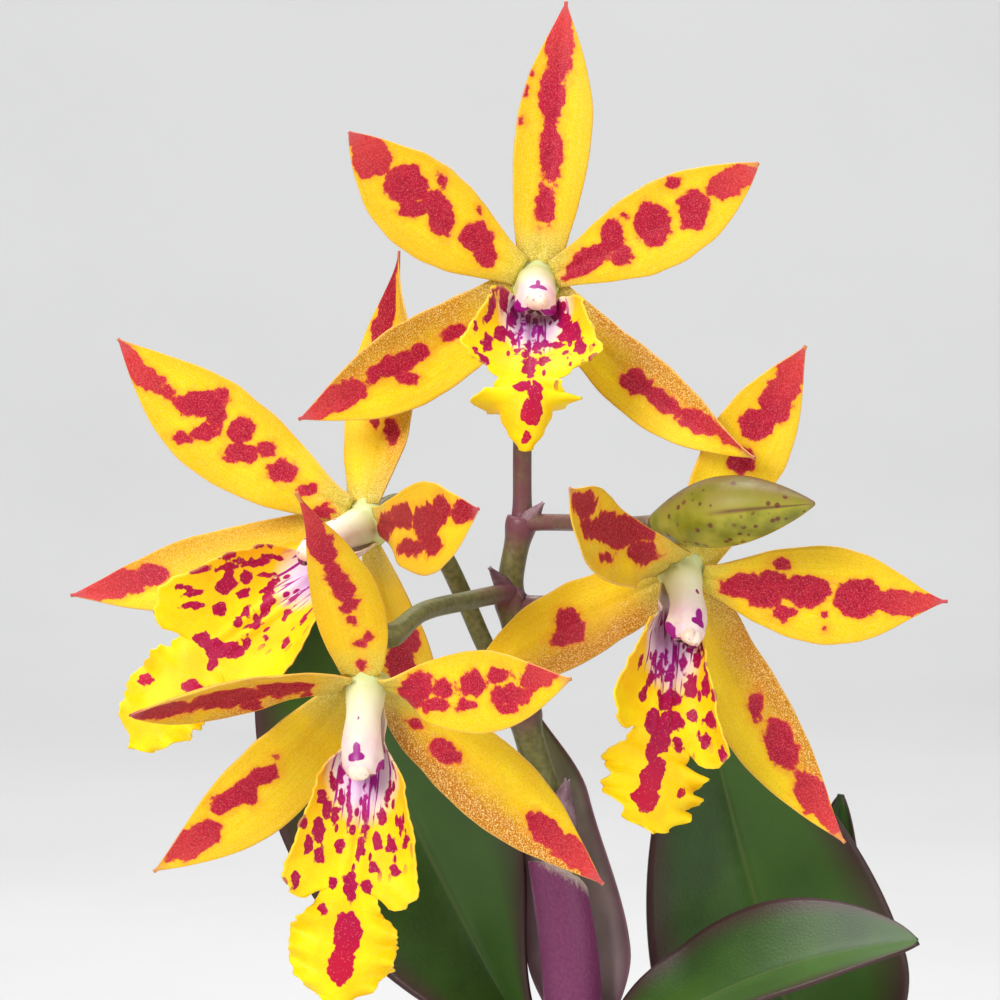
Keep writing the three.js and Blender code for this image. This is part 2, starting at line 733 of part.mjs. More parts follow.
function chipGeometry(random, ring, turn) {
  const size = CHIP_SIZE.map((side) => side * lerp(0.7, 1.2, random()));
  const chip = new THREE.BoxGeometry(...size);
  const corner = chip.attributes.position;
  const seen = new Map();
  for (let i = 0; i < corner.count; i += 1) {
    const key = [corner.getX(i), corner.getY(i), corner.getZ(i)].map(Math.sign).join();
    if (!seen.has(key)) seen.set(key, [random(), random(), random()]);
    const [a, b, c] = seen.get(key).map((r) => lerp(0.7, 1.05, r));
    corner.setXYZ(i, corner.getX(i) * a, corner.getY(i) * b, corner.getZ(i) * c);
  }
  const tilt = new THREE.Euler(lerp(-0.45, 0.45, random()), lerp(-0.45, 0.45, random()), 0);
  const spin = new THREE.Matrix4().makeRotationZ(Math.PI * random());
  chip.applyMatrix4(new THREE.Matrix4().makeRotationFromEuler(tilt));
  chip.applyMatrix4(spin);
  const height = BARK_TOP + lerp(-1, 1.2, random());
  chip.translate(ring * Math.cos(turn), ring * Math.sin(turn), height);
  return chip;
}

// What fits inside the pot up to a height, clear of its wall.
function potFilling(top) {
  const floor = POT_WALL + 1 + GAP;
  return closedLathe([
    [0, floor],
    [innerRadius(floor) - 2 * GAP, floor],
    [innerRadius(top) - 2 * GAP, top],
    [0, top],
  ]);
}

function barkGeometry() {
  const random = seeded(BARK_SEED);
  const pieces = [potFilling(BARK_TOP)];
  const goldenTurn = Math.PI * (3 - Math.sqrt(5));
  for (let i = 0; i < BARK_CHIPS; i += 1) {
    const ring = (innerRadius(BARK_TOP) - 7) * Math.sqrt((i + 0.5) / BARK_CHIPS);
    pieces.push(chipGeometry(random, ring, i * goldenTurn));
  }
  const heap = solid(joined(pieces)).intersect(solid(potFilling(POT_HEIGHT - 2)));
  const bodies = heap.subtract(solid(rhizomeGeometry(GAP))).decompose();
  return surfaceOf(bodies.reduce((a, b) => (a.volume() > b.volume() ? a : b)));
}

place("bark_bed", barkGeometry(), 0x5b3c25, 0.9);

// Pot: thrown clay with a straight tapering wall, a plain proud rim and drainage holes in a ring
// round the middle of its base.
function potGeometry() {
  const rimFoot = POT_HEIGHT - POT_RIM_HEIGHT;
  const rimRadius = POT_TOP_RADIUS + POT_RIM_PROUD;
  const floor = POT_WALL + 1;
  const bevel = 1.5;
  const thrown = closedLathe([
    [0, 0],
    [POT_BASE_RADIUS - bevel, 0],
    [POT_BASE_RADIUS, bevel],
    [lerp(POT_BASE_RADIUS, POT_TOP_RADIUS, rimFoot / POT_HEIGHT), rimFoot],
    [rimRadius - bevel, rimFoot],
    [rimRadius, rimFoot + bevel],
    [rimRadius, POT_HEIGHT - bevel],
    [rimRadius - bevel, POT_HEIGHT],
    [innerRadius(POT_HEIGHT) + bevel, POT_HEIGHT],
    [innerRadius(POT_HEIGHT), POT_HEIGHT - bevel],
    [innerRadius(floor), floor],
    [0, floor],
  ]);
  let pierced = solid(thrown);
  for (let i = 0; i < DRAIN_HOLES; i += 1) {
    const turn = (2 * Math.PI * i) / DRAIN_HOLES;
    const hole = new THREE.CylinderGeometry(DRAIN_RADIUS, DRAIN_RADIUS, 4 * floor, 16);
    hole.rotateX(Math.PI / 2);
    hole.translate(DRAIN_RING * Math.cos(turn), DRAIN_RING * Math.sin(turn), 0);
    pierced = pierced.subtract(solid(hole));
  }
  return surfaceOf(pierced);
}
place("pot", potGeometry(), 0xb5653c, 0.85);

export default orchid;
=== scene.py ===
import math
import random

import bmesh
import bpy
import numpy as np
from mathutils import Matrix, Vector, noise


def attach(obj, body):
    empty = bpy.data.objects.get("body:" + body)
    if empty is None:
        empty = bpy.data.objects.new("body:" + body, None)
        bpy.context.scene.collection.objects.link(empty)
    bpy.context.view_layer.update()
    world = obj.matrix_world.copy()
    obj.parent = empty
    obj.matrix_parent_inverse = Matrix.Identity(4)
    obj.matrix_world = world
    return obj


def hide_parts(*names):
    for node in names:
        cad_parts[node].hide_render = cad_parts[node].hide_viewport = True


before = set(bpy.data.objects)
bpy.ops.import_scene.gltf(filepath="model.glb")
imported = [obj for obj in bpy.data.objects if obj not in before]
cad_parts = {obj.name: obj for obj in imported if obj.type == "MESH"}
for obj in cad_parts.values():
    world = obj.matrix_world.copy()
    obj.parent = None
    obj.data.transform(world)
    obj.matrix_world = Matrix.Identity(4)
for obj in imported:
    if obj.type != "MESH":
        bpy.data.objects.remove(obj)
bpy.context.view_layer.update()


# Camera. It looks level with the blooms and a little down on them, from close by with a long lens.
CAMERA_TILT, CAMERA_DISTANCE, SPRAY_HEIGHT = math.radians(5), 0.9, 0.325


def put(name, data):
    """A new object made of a mesh, a lamp or a camera, put in the scene."""
    thing = bpy.data.objects.new(name, data)
    bpy.context.scene.collection.objects.link(thing)
    return thing


camera_data = bpy.data.cameras.new("camera")
camera_data.sensor_width, camera_data.lens, camera_data.clip_end = 36, 162, 50
camera = put("camera", camera_data)
camera.location = (
    0,
    -CAMERA_DISTANCE * math.cos(CAMERA_TILT),
    SPRAY_HEIGHT + CAMERA_DISTANCE * math.sin(CAMERA_TILT),
)
camera.rotation_euler = (math.pi / 2 - CAMERA_TILT, 0, 0)
bpy.context.scene.camera = camera


# Pot. A plain thrown terracotta pot with a thick collar round its mouth and three drain holes in
# its base. It is unglazed, so it shows fine turning lines and a white bloom of salts under the
# collar, and its clay is darker towards the foot.
MM = 0.001
POT_HEIGHT, POT_TOP_RADIUS, POT_BASE_RADIUS = 100, 58, 43
POT_WALL, RIM_HEIGHT, RIM_PROUD, POT_CORNER = 5, 18, 3.5, 2.6
RIM_FOOT, RIM_RADIUS, POT_FLOOR = POT_HEIGHT - RIM_HEIGHT, POT_TOP_RADIUS + RIM_PROUD, POT_WALL + 1
DRAIN_RADIUS, DRAIN_RING, DRAIN_HOLES = 5, 24, 3


def inner_radius(height):
    wall = POT_BASE_RADIUS + (POT_TOP_RADIUS - POT_BASE_RADIUS) * height / POT_HEIGHT
    return wall - POT_WALL


def turns_in(sides):
    return np.linspace(0, 2 * math.pi, sides, endpoint=False)


def skin(name, rings, finish, node, slot, layers=None, capped=True):
    """A closed piece from rings of points in millimetres, with its UV layers."""
    rows, sides = rings.shape[:2]
    index = np.arange(rows * sides).reshape(rows, sides)
    nearer, further = index[:-1], index[1:]
    around_it = [nearer, np.roll(nearer, -1, 1), np.roll(further, -1, 1), further]
    faces = np.stack(around_it, axis=-1).reshape(-1, 4).tolist()
    if capped:
        faces += [index[0].tolist(), index[-1].tolist()]
    mesh = bpy.data.meshes.new(name)
    mesh.from_pydata((rings.reshape(-1, 3) * MM).tolist(), [], faces)
    corner_points = np.empty(len(mesh.loops), dtype=np.int64)
    mesh.loops.foreach_get("vertex_index", corner_points)
    for layer, values in (layers or {}).items():
        spots = values.reshape(-1, 2)[corner_points]
        mesh.uv_layers.new(name=layer).data.foreach_set("uv", spots.ravel())
    return dressed(name, mesh, finish, node, slot)


def dressed(name, mesh, finish, node, slot):
    """A mesh made into a smooth piece that rides on the plant and stands for its solid."""
    faces_out(mesh)
    mesh.materials.append(finish)
    piece = put(name, mesh)
    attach(piece, "root")
    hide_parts(node)
    return piece


def faces_out(mesh, joined=False):
    """Turns a mesh's smooth faces outward, after joining the points that lie on each other."""
    shape = bmesh.new()
    shape.from_mesh(mesh)
    if joined:
        bmesh.ops.remove_doubles(shape, verts=shape.verts, dist=1e-6)
    bmesh.ops.recalc_face_normals(shape, faces=shape.faces)
    for face in shape.faces:
        face.smooth = True
    shape.to_mesh(mesh)
    shape.free()


def feed(socket, value):
    """Sets a socket to a plain value, or links it to the output that feeds it."""
    if isinstance(value, bpy.types.NodeSocket):
        socket.id_data.links.new(value, socket)
    else:
        socket.default_value = value


def add(kind, *values, tree=None, **named):
    """A shader node beside those that feed it. Values go to its sockets in turn, names with a
    capital are sockets too and the others are settings."""
    fed = [v for v in (*values, *named.values()) if isinstance(v, bpy.types.NodeSocket)]
    node = (tree or fed[0].id_data).nodes.new("ShaderNode" + kind)
    for key, value in named.items():
        if key[0].islower():
            setattr(node, key, value)
    for key, value in (*enumerate(values), *named.items()):
        if isinstance(key, int) or key[0].isupper():
            feed(node.inputs[key if isinstance(key, int) else key.replace("_", " ")], value)
    return node


def maths(operation, *values):
    return add("Math", *values, operation=operation).outputs[0]


def times(first, second):
    return maths("MULTIPLY", first, second)


def plus(first, second):
    return maths("ADD", first, second)


def less(first, second):
    return maths("SUBTRACT", first, second)


def between(value, low, high):
    """0 below low, 1 above high, and even between them; high may be the lower one."""
    return add("MapRange", Value=value, From_Min=low, From_Max=high).outputs[0]


def ranged(value, low, high):
    """A value of 0 to 1 brought between two others."""
    return add("MapRange", Value=value, To_Min=low, To_Max=high).outputs[0]


def scaled(place, by):
    return add("VectorMath", place, by, operation="MULTIPLY").outputs[0]


def noised(place, scale, detail, **more):
    return add("TexNoise", Vector=place, Scale=scale, Detail=detail, **more).outputs[0]


def rgb(red, green, blue):
    """A paint colour from its 0 to 255 values."""
    return tuple(
        (v / 255 / 12.92 if v <= 10 else ((v / 255 + 0.055) / 1.055) ** 2.4)
        for v in (red, green, blue)
    ) + (1.0,)


def mixed(share, first, second):
    """A colour between two others; three plain numbers are a paint of 0 to 255."""
    node = add("Mix", share, data_type="RGBA")
    for k, paint in ((6, first), (7, second)):
        feed(node.inputs[k], rgb(*paint) if isinstance(paint, tuple) and len(paint) == 3 else paint)
    return node.outputs[2]


def coats(colour, *layers):
    """A colour under further ones, each given with its mask and maybe its strength."""
    for mask, *strength, paint in layers:
        colour = mixed(times(mask, *strength) if strength else mask, colour, paint)
    return colour


def new_finish(name, gloss):
    """A material with its gloss; returns it and the place on the piece that it paints."""
    material = bpy.data.materials.new(name)
    material.use_nodes = True
    tree = material.node_tree
    tree.nodes["Principled BSDF"].inputs["Specular IOR Level"].default_value = gloss
    return material, add("TexCoord", tree=tree).outputs["Object"]


def surfaced(material, colour, grain, rough, strength, depth, height=None):
    """Gives a material its colour, roughness by its grain, and relief by the grain or a height."""
    sockets = material.node_tree.nodes["Principled BSDF"].inputs
    relief = grain if height is None else height
    feed(sockets["Base Color"], colour)
    feed(sockets["Roughness"], ranged(grain, *rough) if rough else grain)
    bump = add("Bump", Height=relief, Strength=strength, Distance=depth * MM)
    feed(sockets["Normal"], bump.outputs[0])


def new_group(name, takes, gives):
    """A shader node group with its inputs, None for a place or a value's usual number, and its
    outputs; returns the group and the sockets inside it."""
    tree = bpy.data.node_groups.new(name, "ShaderNodeTree")
    for socket, usual in takes.items():
        kind = "NodeSocketVector" if usual is None else "NodeSocketFloat"
        entry = tree.interface.new_socket(socket, in_out="INPUT", socket_type=kind)
        if usual is not None:
            entry.default_value = usual
    for socket in gives:
        kind = "NodeSocketColor" if socket == "Colour" else "NodeSocketFloat"
        tree.interface.new_socket(socket, in_out="OUTPUT", socket_type=kind)
    taken, given = tree.nodes.new("NodeGroupInput"), tree.nodes.new("NodeGroupOutput")
    return tree, taken.outputs, given.inputs


def placed(group, **inputs):
    """One use of a node group in a material; returns its outputs."""
    return add("Group", node_tree=group, **inputs).outputs


# Uneven patches of tone: a noise squeezed between two values.
mottle, taken, given = new_group(
    "mottle", dict(Place=None, Scale=5.0, Detail=4.0, Low=0.35, High=0.65), ["Value"]
)
patches = noised(taken["Place"], taken["Scale"], taken["Detail"])
feed(given["Value"], between(patches, taken["Low"], taken["High"]))


def mottled(place, scale, **more):
    return placed(mottle, Place=place, Scale=scale, **more)["Value"]


clay, place = new_finish("fired_clay", 0.25)
height = add("SeparateXYZ", place).outputs["Z"]
turning = noised(scaled(place, (12, 12, 900)), 1.0, 3.0)
grit = noised(place, 1600.0, 2.0)
salts = mottled(place, 60.0, Detail=8.0, Low=0.52, High=0.72)
body = coats(
    mixed(mottled(place, 38.0), (160, 84, 52), (192, 110, 72)),
    (between(height, 0.035, 0.0), 0.45, (104, 58, 40)),
    (times(salts, between(height, 0.045, 0.08)), 0.55, (222, 206, 188)),
    (grit, 0.25, (120, 62, 40)),
)
surfaced(clay, body, grit, (0.75, 0.95), 0.25, 0.5, plus(times(turning, 1.4), grit))


def rounded(outline, radius, steps=4):
    """A closed outline of (radius, height) points with its corners rounded."""
    smooth = []
    for k, corner in enumerate(outline):
        corner = np.array(corner, float)
        if corner[0] == 0:
            smooth.append(corner)
            continue
        before = np.array(outline[k - 1], float) - corner
        after = np.array(outline[(k + 1) % len(outline)], float) - corner
        reach = min(radius, 0.45 * np.linalg.norm(before), 0.45 * np.linalg.norm(after))
        start = corner + before / np.linalg.norm(before) * reach
        end = corner + after / np.linalg.norm(after) * reach
        for u in np.linspace(0, 1, steps + 1):
            smooth.append((1 - u) ** 2 * start + 2 * u * (1 - u) * corner + u * u * end)
    return np.array(smooth)


pot_outline = rounded(
    [
        (0, 0), (POT_BASE_RADIUS, 0), (inner_radius(RIM_FOOT) + POT_WALL, RIM_FOOT),
        (RIM_RADIUS, RIM_FOOT + 0.5), (RIM_RADIUS - 0.4, POT_HEIGHT),
        (inner_radius(POT_HEIGHT), POT_HEIGHT), (inner_radius(POT_FLOOR), POT_FLOOR),
        (0, POT_FLOOR),
    ],
    POT_CORNER,
)
pot_rings = np.array(
    [[(r * math.cos(a), r * math.sin(a), z) for r, z in pot_outline] for a in turns_in(128)]
)
pot_rings = np.concatenate([pot_rings, pot_rings[:1]])
pot = skin("pot_thrown", pot_rings, clay, "pot", "clay", capped=False)
faces_out(pot.data, joined=True)
drains = bpy.data.meshes.new("drains")
shape = bmesh.new()
for turn in turns_in(DRAIN_HOLES):
    centre = Vector((DRAIN_RING * math.cos(turn), DRAIN_RING * math.sin(turn), 3)) * MM
    bmesh.ops.create_cone(
        shape, cap_ends=True, segments=32, radius1=DRAIN_RADIUS * MM, radius2=DRAIN_RADIUS * MM,
        depth=20 * MM, matrix=Matrix.Translation(centre),
    )
shape.to_mesh(drains)
shape.free()
punch = put("punch", drains)
pot.modifiers.new("drain holes", "BOOLEAN").object = punch
pierced = bpy.data.meshes.new_from_object(
    pot.evaluated_get(bpy.context.evaluated_depsgraph_get())
)
pot.modifiers.clear()
pot.data = pierced
pierced.set_sharp_from_angle(angle=math.radians(50))
bpy.data.objects.remove(punch)


# Bark. Chips of conifer bark, cut coarse and tipped in loose round the rhizome, over a fill of
# finer crumb. Each chip is a flat block with worn corners, corky brown outside and reddish
# where it broke.
BARK_TOP, CRUMB_TOP, CRUMB_SIDES, CHIP_COUNT = 86, 84.5, 96, 120


def attribute(place, name):
    """A value that a piece's mesh holds under a name."""
    return add("Attribute", tree=place.id_data, attribute_name=name).outputs["Fac"]


def marked(piece, name, values, points):
    """Stores a value under a name for each ring or chip of that many points."""
    store = piece.data.attributes.new(name, "FLOAT", "POINT")
    store.data.foreach_set("value", np.repeat(values, points))


cork, place = new_finish("bark_cork", 0.2)
tone = attribute(place, "tone")
plates = noised(scaled(place, (1, 1, 3)), 260.0, 8.0, Roughness=0.65)
dark = mixed(tone, (58, 34, 22), (120, 74, 46))
light = mixed(tone, (112, 66, 42), (168, 112, 76))
surfaced(cork, mixed(between(plates, 0.38, 0.64), dark, light), plates, (0.95, 0.7), 0.7, 1.2)

block = bmesh.new()
bmesh.ops.create_cube(block, size=2)
bmesh.ops.subdivide_edges(block, edges=block.edges, cuts=3, use_grid_fill=True)
block.verts.ensure_lookup_table()
template = np.array([v.co[:] for v in block.verts])
template /= ((np.abs(template) ** 7).sum(1) ** (1 / 7))[:, None]
template_faces = [[v.index for v in face.verts] for face in block.faces]
block.free()

# Unless it is given a seed, the vector noise takes one from the clock.
noise.seed_set(11)
chance = random.Random(11)
points, faces, tones = [], [], []
for k in range(CHIP_COUNT):
    size = [chance.uniform(5, 10), chance.uniform(3.5, 6.5), chance.uniform(1.6, 3.4)]
    turn = k * math.pi * (3 - math.sqrt(5))
    ring = (inner_radius(BARK_TOP) - 8) * math.sqrt((k + 0.5) / CHIP_COUNT)
    at = Vector((ring * math.cos(turn), ring * math.sin(turn), BARK_TOP + chance.uniform(-1.5, 3)))
    lean = Matrix.Rotation(chance.uniform(0, math.pi), 3, "Z")
    for axis in "XY":
        lean = lean @ Matrix.Rotation(chance.uniform(-0.5, 0.5), 3, axis)
    shift = Vector((k * 3.1, k * 1.7, 0))
    tones.append(chance.random())
    faces += [[len(points) + i for i in face] for face in template_faces]
    for corner in template:
        worn = Vector(corner[i] * size[i] for i in range(3))
        worn *= 1 + 0.16 * noise.noise(Vector(corner) * 1.4 + shift)
        worn += noise.noise_vector(Vector(corner) * 3.2 + shift) * 0.5
        point = lean @ worn + at
        reach, limit = math.hypot(point.x, point.y), inner_radius(point.z) - 0.6
        if reach > limit:
            point.x, point.y = point.x * limit / reach, point.y * limit / reach
        points.append(point)
chips = bpy.data.meshes.new("bark_chips")
chips.from_pydata([p * MM for p in points], [], faces)
marked(dressed("bark_chips", chips, cork, "bark_bed", "bark"), "tone", tones, len(template))


def circle(radius, level, sides):
    return [(radius * math.cos(a), radius * math.sin(a), level) for a in turns_in(sides)]


crumb = [
    [
        (x, y, z + 1.6 * noise.noise(Vector((x, y, 9)) / 5))
        for x, y, z in circle(radius, CRUMB_TOP, CRUMB_SIDES)
    ]
    for radius in (1, *range(6, 49, 6))
]
crumb += [
    circle(inner_radius(level) - 0.6, level, CRUMB_SIDES) for level in (84, 60, 30, POT_FLOOR + 0.3)
]
crumb.append(circle(1, POT_FLOOR + 0.3, CRUMB_SIDES))
skin("bark_crumb", np.array(crumb), cork, "bark_bed", "bark")


# Rhizome and roots. The creeping stem is woody and ringed with old scale scars. Its roots have a
# silvery spongy coat and green growing tips; two have climbed over the rim of the pot.
RHIZOME_RADIUS, RHIZOME_HEIGHT, ROOT_RADIUS = 4.5, 89.5, 1.8
ROOT_HEIGHT = BARK_TOP + 1.6
OVER_RIM = POT_HEIGHT + ROOT_RADIUS + 1.5
OUTSIDE_RIM = RIM_RADIUS + ROOT_RADIUS + 0.6
RHIZOME_PATHS = [
    [(-40, -9), (-28, 4), (-18, 10), (-6, 5), (4, 0), (16, 3), (34, 10)],
    [(2, 1), (8, 12), (16, 25)],
]
ROOT_PATHS = [
    [(-6, 4), (-9, -12), (-3, -26), (-12, -40)],
    [(-20, 9), (-30, 24), (-26, 36), (-14, 42)],
    [(33, 9), (40, 22), (34, 36)],
]
# Where each hanging root starts, the side that it goes over in degrees, and where it ends.
HANGING_ROOTS = [((20, 4), -38, 66), ((-34, -4), 205, 58)]


def ease(x, low, high):
    u = min(1.0, max(0.0, (x - low) / (high - low)))
    return u * u * (3 - 2 * u)


def profile(points, x):
    """Value at x on a line through (position, value) points, eased between them."""
    k = 1
    while k < len(points) - 1 and x > points[k][0]:
        k += 1
    (x0, y0), (x1, y1) = points[k - 1], points[k]
    return y0 + (y1 - y0) * ease(x, x0, x1)


def lengths(points):
    """How far each of the points lies along their line."""
    steps = np.linalg.norm(np.diff(points, axis=0), axis=1)
    return np.concatenate([[0], np.cumsum(steps)])


def smooth_path(points, count):
    """A smooth curve through points, as count + 1 places spaced evenly along it."""
    knots = np.array(points, float)
    knots = np.vstack([2 * knots[0] - knots[1], knots, 2 * knots[-1] - knots[-2]])
    dense = []
    for k in range(1, len(knots) - 2):
        p0, p1, p2, p3 = knots[k - 1 : k + 3]
        gaps = (p1 - p0, p2 - p1, p3 - p2)
        d0, d1, d2 = (max(np.linalg.norm(gap) ** 0.5, 1e-4) for gap in gaps)
        leave = ((p1 - p0) / d0 - (p2 - p0) / (d0 + d1) + (p2 - p1) / d1) * d1
        reach = ((p2 - p1) / d1 - (p3 - p1) / (d1 + d2) + (p3 - p2) / d2) * d1
        bend, twist = -3 * p1 + 3 * p2 - 2 * leave - reach, 2 * p1 - 2 * p2 + leave + reach
        for u in np.linspace(0, 1, 60, endpoint=False):
            dense.append(p1 + leave * u + bend * u**2 + twist * u**3)
    dense = np.array([*dense, knots[-2]])
    along = lengths(dense)
    wanted = np.linspace(0, along[-1], count + 1)
    return np.stack([np.interp(wanted, along, dense[:, k]) for k in range(3)], axis=1)


def tube(path, radii, sides, first=(0, -1, 0)):
    """Rings round a path; radii is one number a ring or one for each point of each ring. The
    first point of each ring lies towards the direction first, carried along without twist."""
    tangents = np.gradient(path, axis=0)
    tangents /= np.linalg.norm(tangents, axis=1)[:, None]
    radii = np.asarray(radii, float)
    if radii.ndim == 1:
        radii = np.repeat(radii[:, None], sides, axis=1)
    across, turns, rings = np.array(first, float), turns_in(sides)[:, None], []
    for centre, along, radius in zip(path, tangents, radii):
        across = across - along * across.dot(along)
        across /= np.linalg.norm(across)
        outward = np.cos(turns) * across + np.sin(turns) * np.cross(along, across)
        rings.append(centre + outward * radius[:, None])
    return np.array(rings)


def around(rings):
    """A UV layer for rings: u runs along in decimetres, v from the first side round to the
    opposite one, the same on both flanks."""
    sides = rings.shape[1]
    along, turn = lengths(rings.mean(1)) / 100, 1 - np.abs(1 - 2 * np.arange(sides) / sides)
    return {"around": np.stack(np.broadcast_arrays(along[:, None], turn[None, :]), axis=-1)}


wood, place = new_finish("rhizome_wood", 0.3)
grain = mottled(place, 300.0, Detail=6.0)
surfaced(wood, mixed(grain, (92, 74, 44), (142, 122, 76)), grain, (0.6, 0.85), 0.5, 0.6)

velamen, place = new_finish("root_coat", 0.2)
felt = mottled(place, 700.0, Detail=5.0)
coat = mixed(felt, (176, 172, 158), (214, 212, 202))
coat = mixed(attribute(place, "tip"), coat, (120, 150, 70))
surfaced(velamen, coat, felt, (0.8, 0.95), 0.4, 0.4)

for k, path in enumerate(RHIZOME_PATHS):
    line = smooth_path([(x, y, RHIZOME_HEIGHT) for x, y in path], 110)
    scars = [
        RHIZOME_RADIUS * (0.94 + 0.07 * ((i * len(path) / 55) % 1))
        * min(1, 0.6 + 0.1 * min(i, 110 - i))
        for i in range(111)
    ]
    rings = tube(line, scars, 24)
    skin(f"rhizome_stem_{k + 1}", rings, wood, "rhizome", "rhizome", around(rings))

root_ways = [[(x, y, ROOT_HEIGHT) for x, y in path] for path in ROOT_PATHS]
for start, side, low in HANGING_ROOTS:
    # Over the bark, up the inside of the rim, over it and down outside.
    out_and_up = [
        (44, ROOT_HEIGHT + 1), (POT_TOP_RADIUS - POT_WALL - 4, POT_HEIGHT - 4),
        (POT_TOP_RADIUS - 2, OVER_RIM + 1), (OUTSIDE_RIM - 1, OVER_RIM + 0.5),
        (OUTSIDE_RIM + 0.8, POT_HEIGHT - 6), (OUTSIDE_RIM + 0.5, RIM_FOOT),
        (OUTSIDE_RIM - 1.5, low),
    ]
    turn = math.radians(side)
    stops = [(r * math.cos(turn), r * math.sin(turn), z) for r, z in out_and_up]
    root_ways.append([(*start, ROOT_HEIGHT), *stops])
for k, way in enumerate(root_ways):
    swell = [
        ROOT_RADIUS * (0.97 + 0.05 * noise.noise(Vector((i * 0.3, k * 5, 0))))
        * profile([(0, 1), (0.9, 0.92), (0.97, 0.8), (1, 0.2)], i / 120)
        for i in range(121)
    ]
    rings = tube(smooth_path(way, 120), swell, 14, first=(0.1, 0.2, 1))
    root = skin(f"root_{k + 1}", rings, velamen, "rhizome", "rhizome", around(rings))
    marked(root, "tip", [ease(i / 120, 0.9, 0.96) for i in range(121)], 14)


# Canes. Spindle-shaped pseudobulbs of solid green tissue, ribbed with age and ringed where each
# old sheath grew. Brown paper remains of those sheaths still wrap the lower part of each cane.
CANE_RADIUS = 10
CANE_FOOT = RHIZOME_HEIGHT + RHIZOME_RADIUS + 0.3
CANE_RINGS = (0.16, 0.36, 0.58, 0.8)
# Each cane's foot and top, its share of the full thickness, and what its top has of its own.
CANES = [
    ((4, 0), (15.5, 3, 208), 1, 0.85), ((30, 8), (69.5, 20.5, 188.5), 1, 0.65),
    ((-18, 10), (-35, 29, 182.5), 0.95, 0.5), ((14, 22), (23, 44, 180.5), 0.9, 0.5),
    ((-36, -6), (-46, -16, 158), 0.85, 0.3),
]
# Where each paper wrap starts and ends along a cane, and its thickness.
WRAPS, PAPER = [(0.02, 0.3), (0.17, 0.52)], 0.35

cane_green, place = new_finish("cane_rind", 0.45)
ribs = mottled(scaled(place, (1, 1, 0.12)), 420.0, Detail=3.0)
rind = coats(
    mixed(mottled(place, 60.0), (84, 100, 44), (132, 138, 66)),
    (ribs, 0.5, (70, 74, 38)),
    (attribute(place, "ring"), (96, 60, 62)),
)
surfaced(cane_green, rind, ribs, (0.38, 0.6), 0.35, 0.5)

paper, place = new_finish("sheath_paper", 0.35)
fibres = mottled(scaled(place, (1, 1, 0.06)), 900.0, Detail=4.0)
sheet_tone = mixed(mottled(place, 90.0), (176, 160, 128), (208, 196, 170))
surfaced(paper, coats(sheet_tone, (fibres, 0.5, (140, 116, 84))), fibres, (0.5, 0.8), 0.6, 0.4)


def blade(name, rows, columns, weave, finish, node, slot):
    """A thin piece. For u from root to tip and s from -1 to 1 across, weave gives the place on
    its middle surface, its thickness and its UV layers, which are the same on both faces."""
    cells = [
        [weave(i / rows, 2 * j / columns - 1) for j in range(columns + 1)] for i in range(rows + 1)
    ]
    grid, thick, *layers = (
        np.array([[cell[k] for cell in row] for row in cells]) for k in range(len(cells[0][0]))
    )
    normal = np.cross(np.gradient(grid, axis=1), np.gradient(grid, axis=0))
    normal /= np.maximum(np.linalg.norm(normal, axis=2), 1e-9)[..., None]
    offset = normal * thick[..., None] / 2
    rings = np.concatenate([grid + offset, (grid - offset)[:, ::-1]], axis=1)
    layers = [np.concatenate([layer, layer[:, ::-1]], axis=1) for layer in layers]
    return skin(name, rings, finish, node, slot, dict(zip(("span", "flat"), layers)))


def unit(v):
    v = np.array(v, float)
    return v / np.linalg.norm(v)


turns = turns_in(40)
for k, ((x, y), (tx, ty, tz), stout, apex) in enumerate(CANES):
    bulge = (x + (tx - x) * 0.45, y + (ty - y) * 0.45, (CANE_FOOT + tz) / 2)
    stops = [(x, y, CANE_FOOT), (x, y, CANE_FOOT + 8), bulge, (tx, ty, tz - 8), (tx, ty, tz)]
    spindle = [(0, 0.45), (0.4, 1), (0.75, 0.75), (1, apex)]
    node = f"cane_{k + 1}"
    radii, marks = [], []
    for i in range(91):
        t = i / 90
        ring = max(math.exp(-(((t - spot) / 0.012) ** 2)) for spot in CANE_RINGS)
        ribbed = 1 + 0.03 * (1 - ring) * np.cos(9 * turns + k) + 0.015 * np.cos(14 * turns + 2 * k)
        end = profile([(0, 0.7), (0.04, 1), (0.97, 1), (1, 0.85)], t)
        size = CANE_RADIUS * stout * profile(spindle, t)
        radii.append(size * ribbed * end - 0.35 + 0.45 * ring)
        marks.append(ring * 0.7)
    rings = tube(smooth_path(stops, 90), radii, 40)
    marked(skin(node + "_flesh", rings, cane_green, node, "cane"), "ring", marks, 40)
    line = smooth_path(stops, 200)
    tangents = np.gradient(line, axis=0)
    for wrap, (low, high) in enumerate(WRAPS):

        def weave(u, s):
            s = (s + 1) / 2
            torn = high - 0.05 * abs(noise.noise(Vector((s * 9, k * 3.3, wrap)))) - 0.06 * s
            t = low + (torn - low) * u
            n = min(199, int(t * 200))
            centre = line[n] + (line[n + 1] - line[n]) * (t * 200 - n)
            along = unit(tangents[n])
            side = unit(np.cross(along, (0, -1, 0)))
            angle = wrap * 2.3 + k + s * 5.6
            reach = CANE_RADIUS * stout * profile(spindle, t) + 0.3 + 0.3 * wrap + 0.9 * u**4
            reach += 0.15 * noise.noise(Vector((s * 14, t * 22, k)))
            outward = math.cos(angle) * np.cross(side, along) + math.sin(angle) * side
            return centre + reach * outward, PAPER

        blade(f"{node}_paper_{wrap + 1}", 26, 48, weave, paper, node, "sheath")


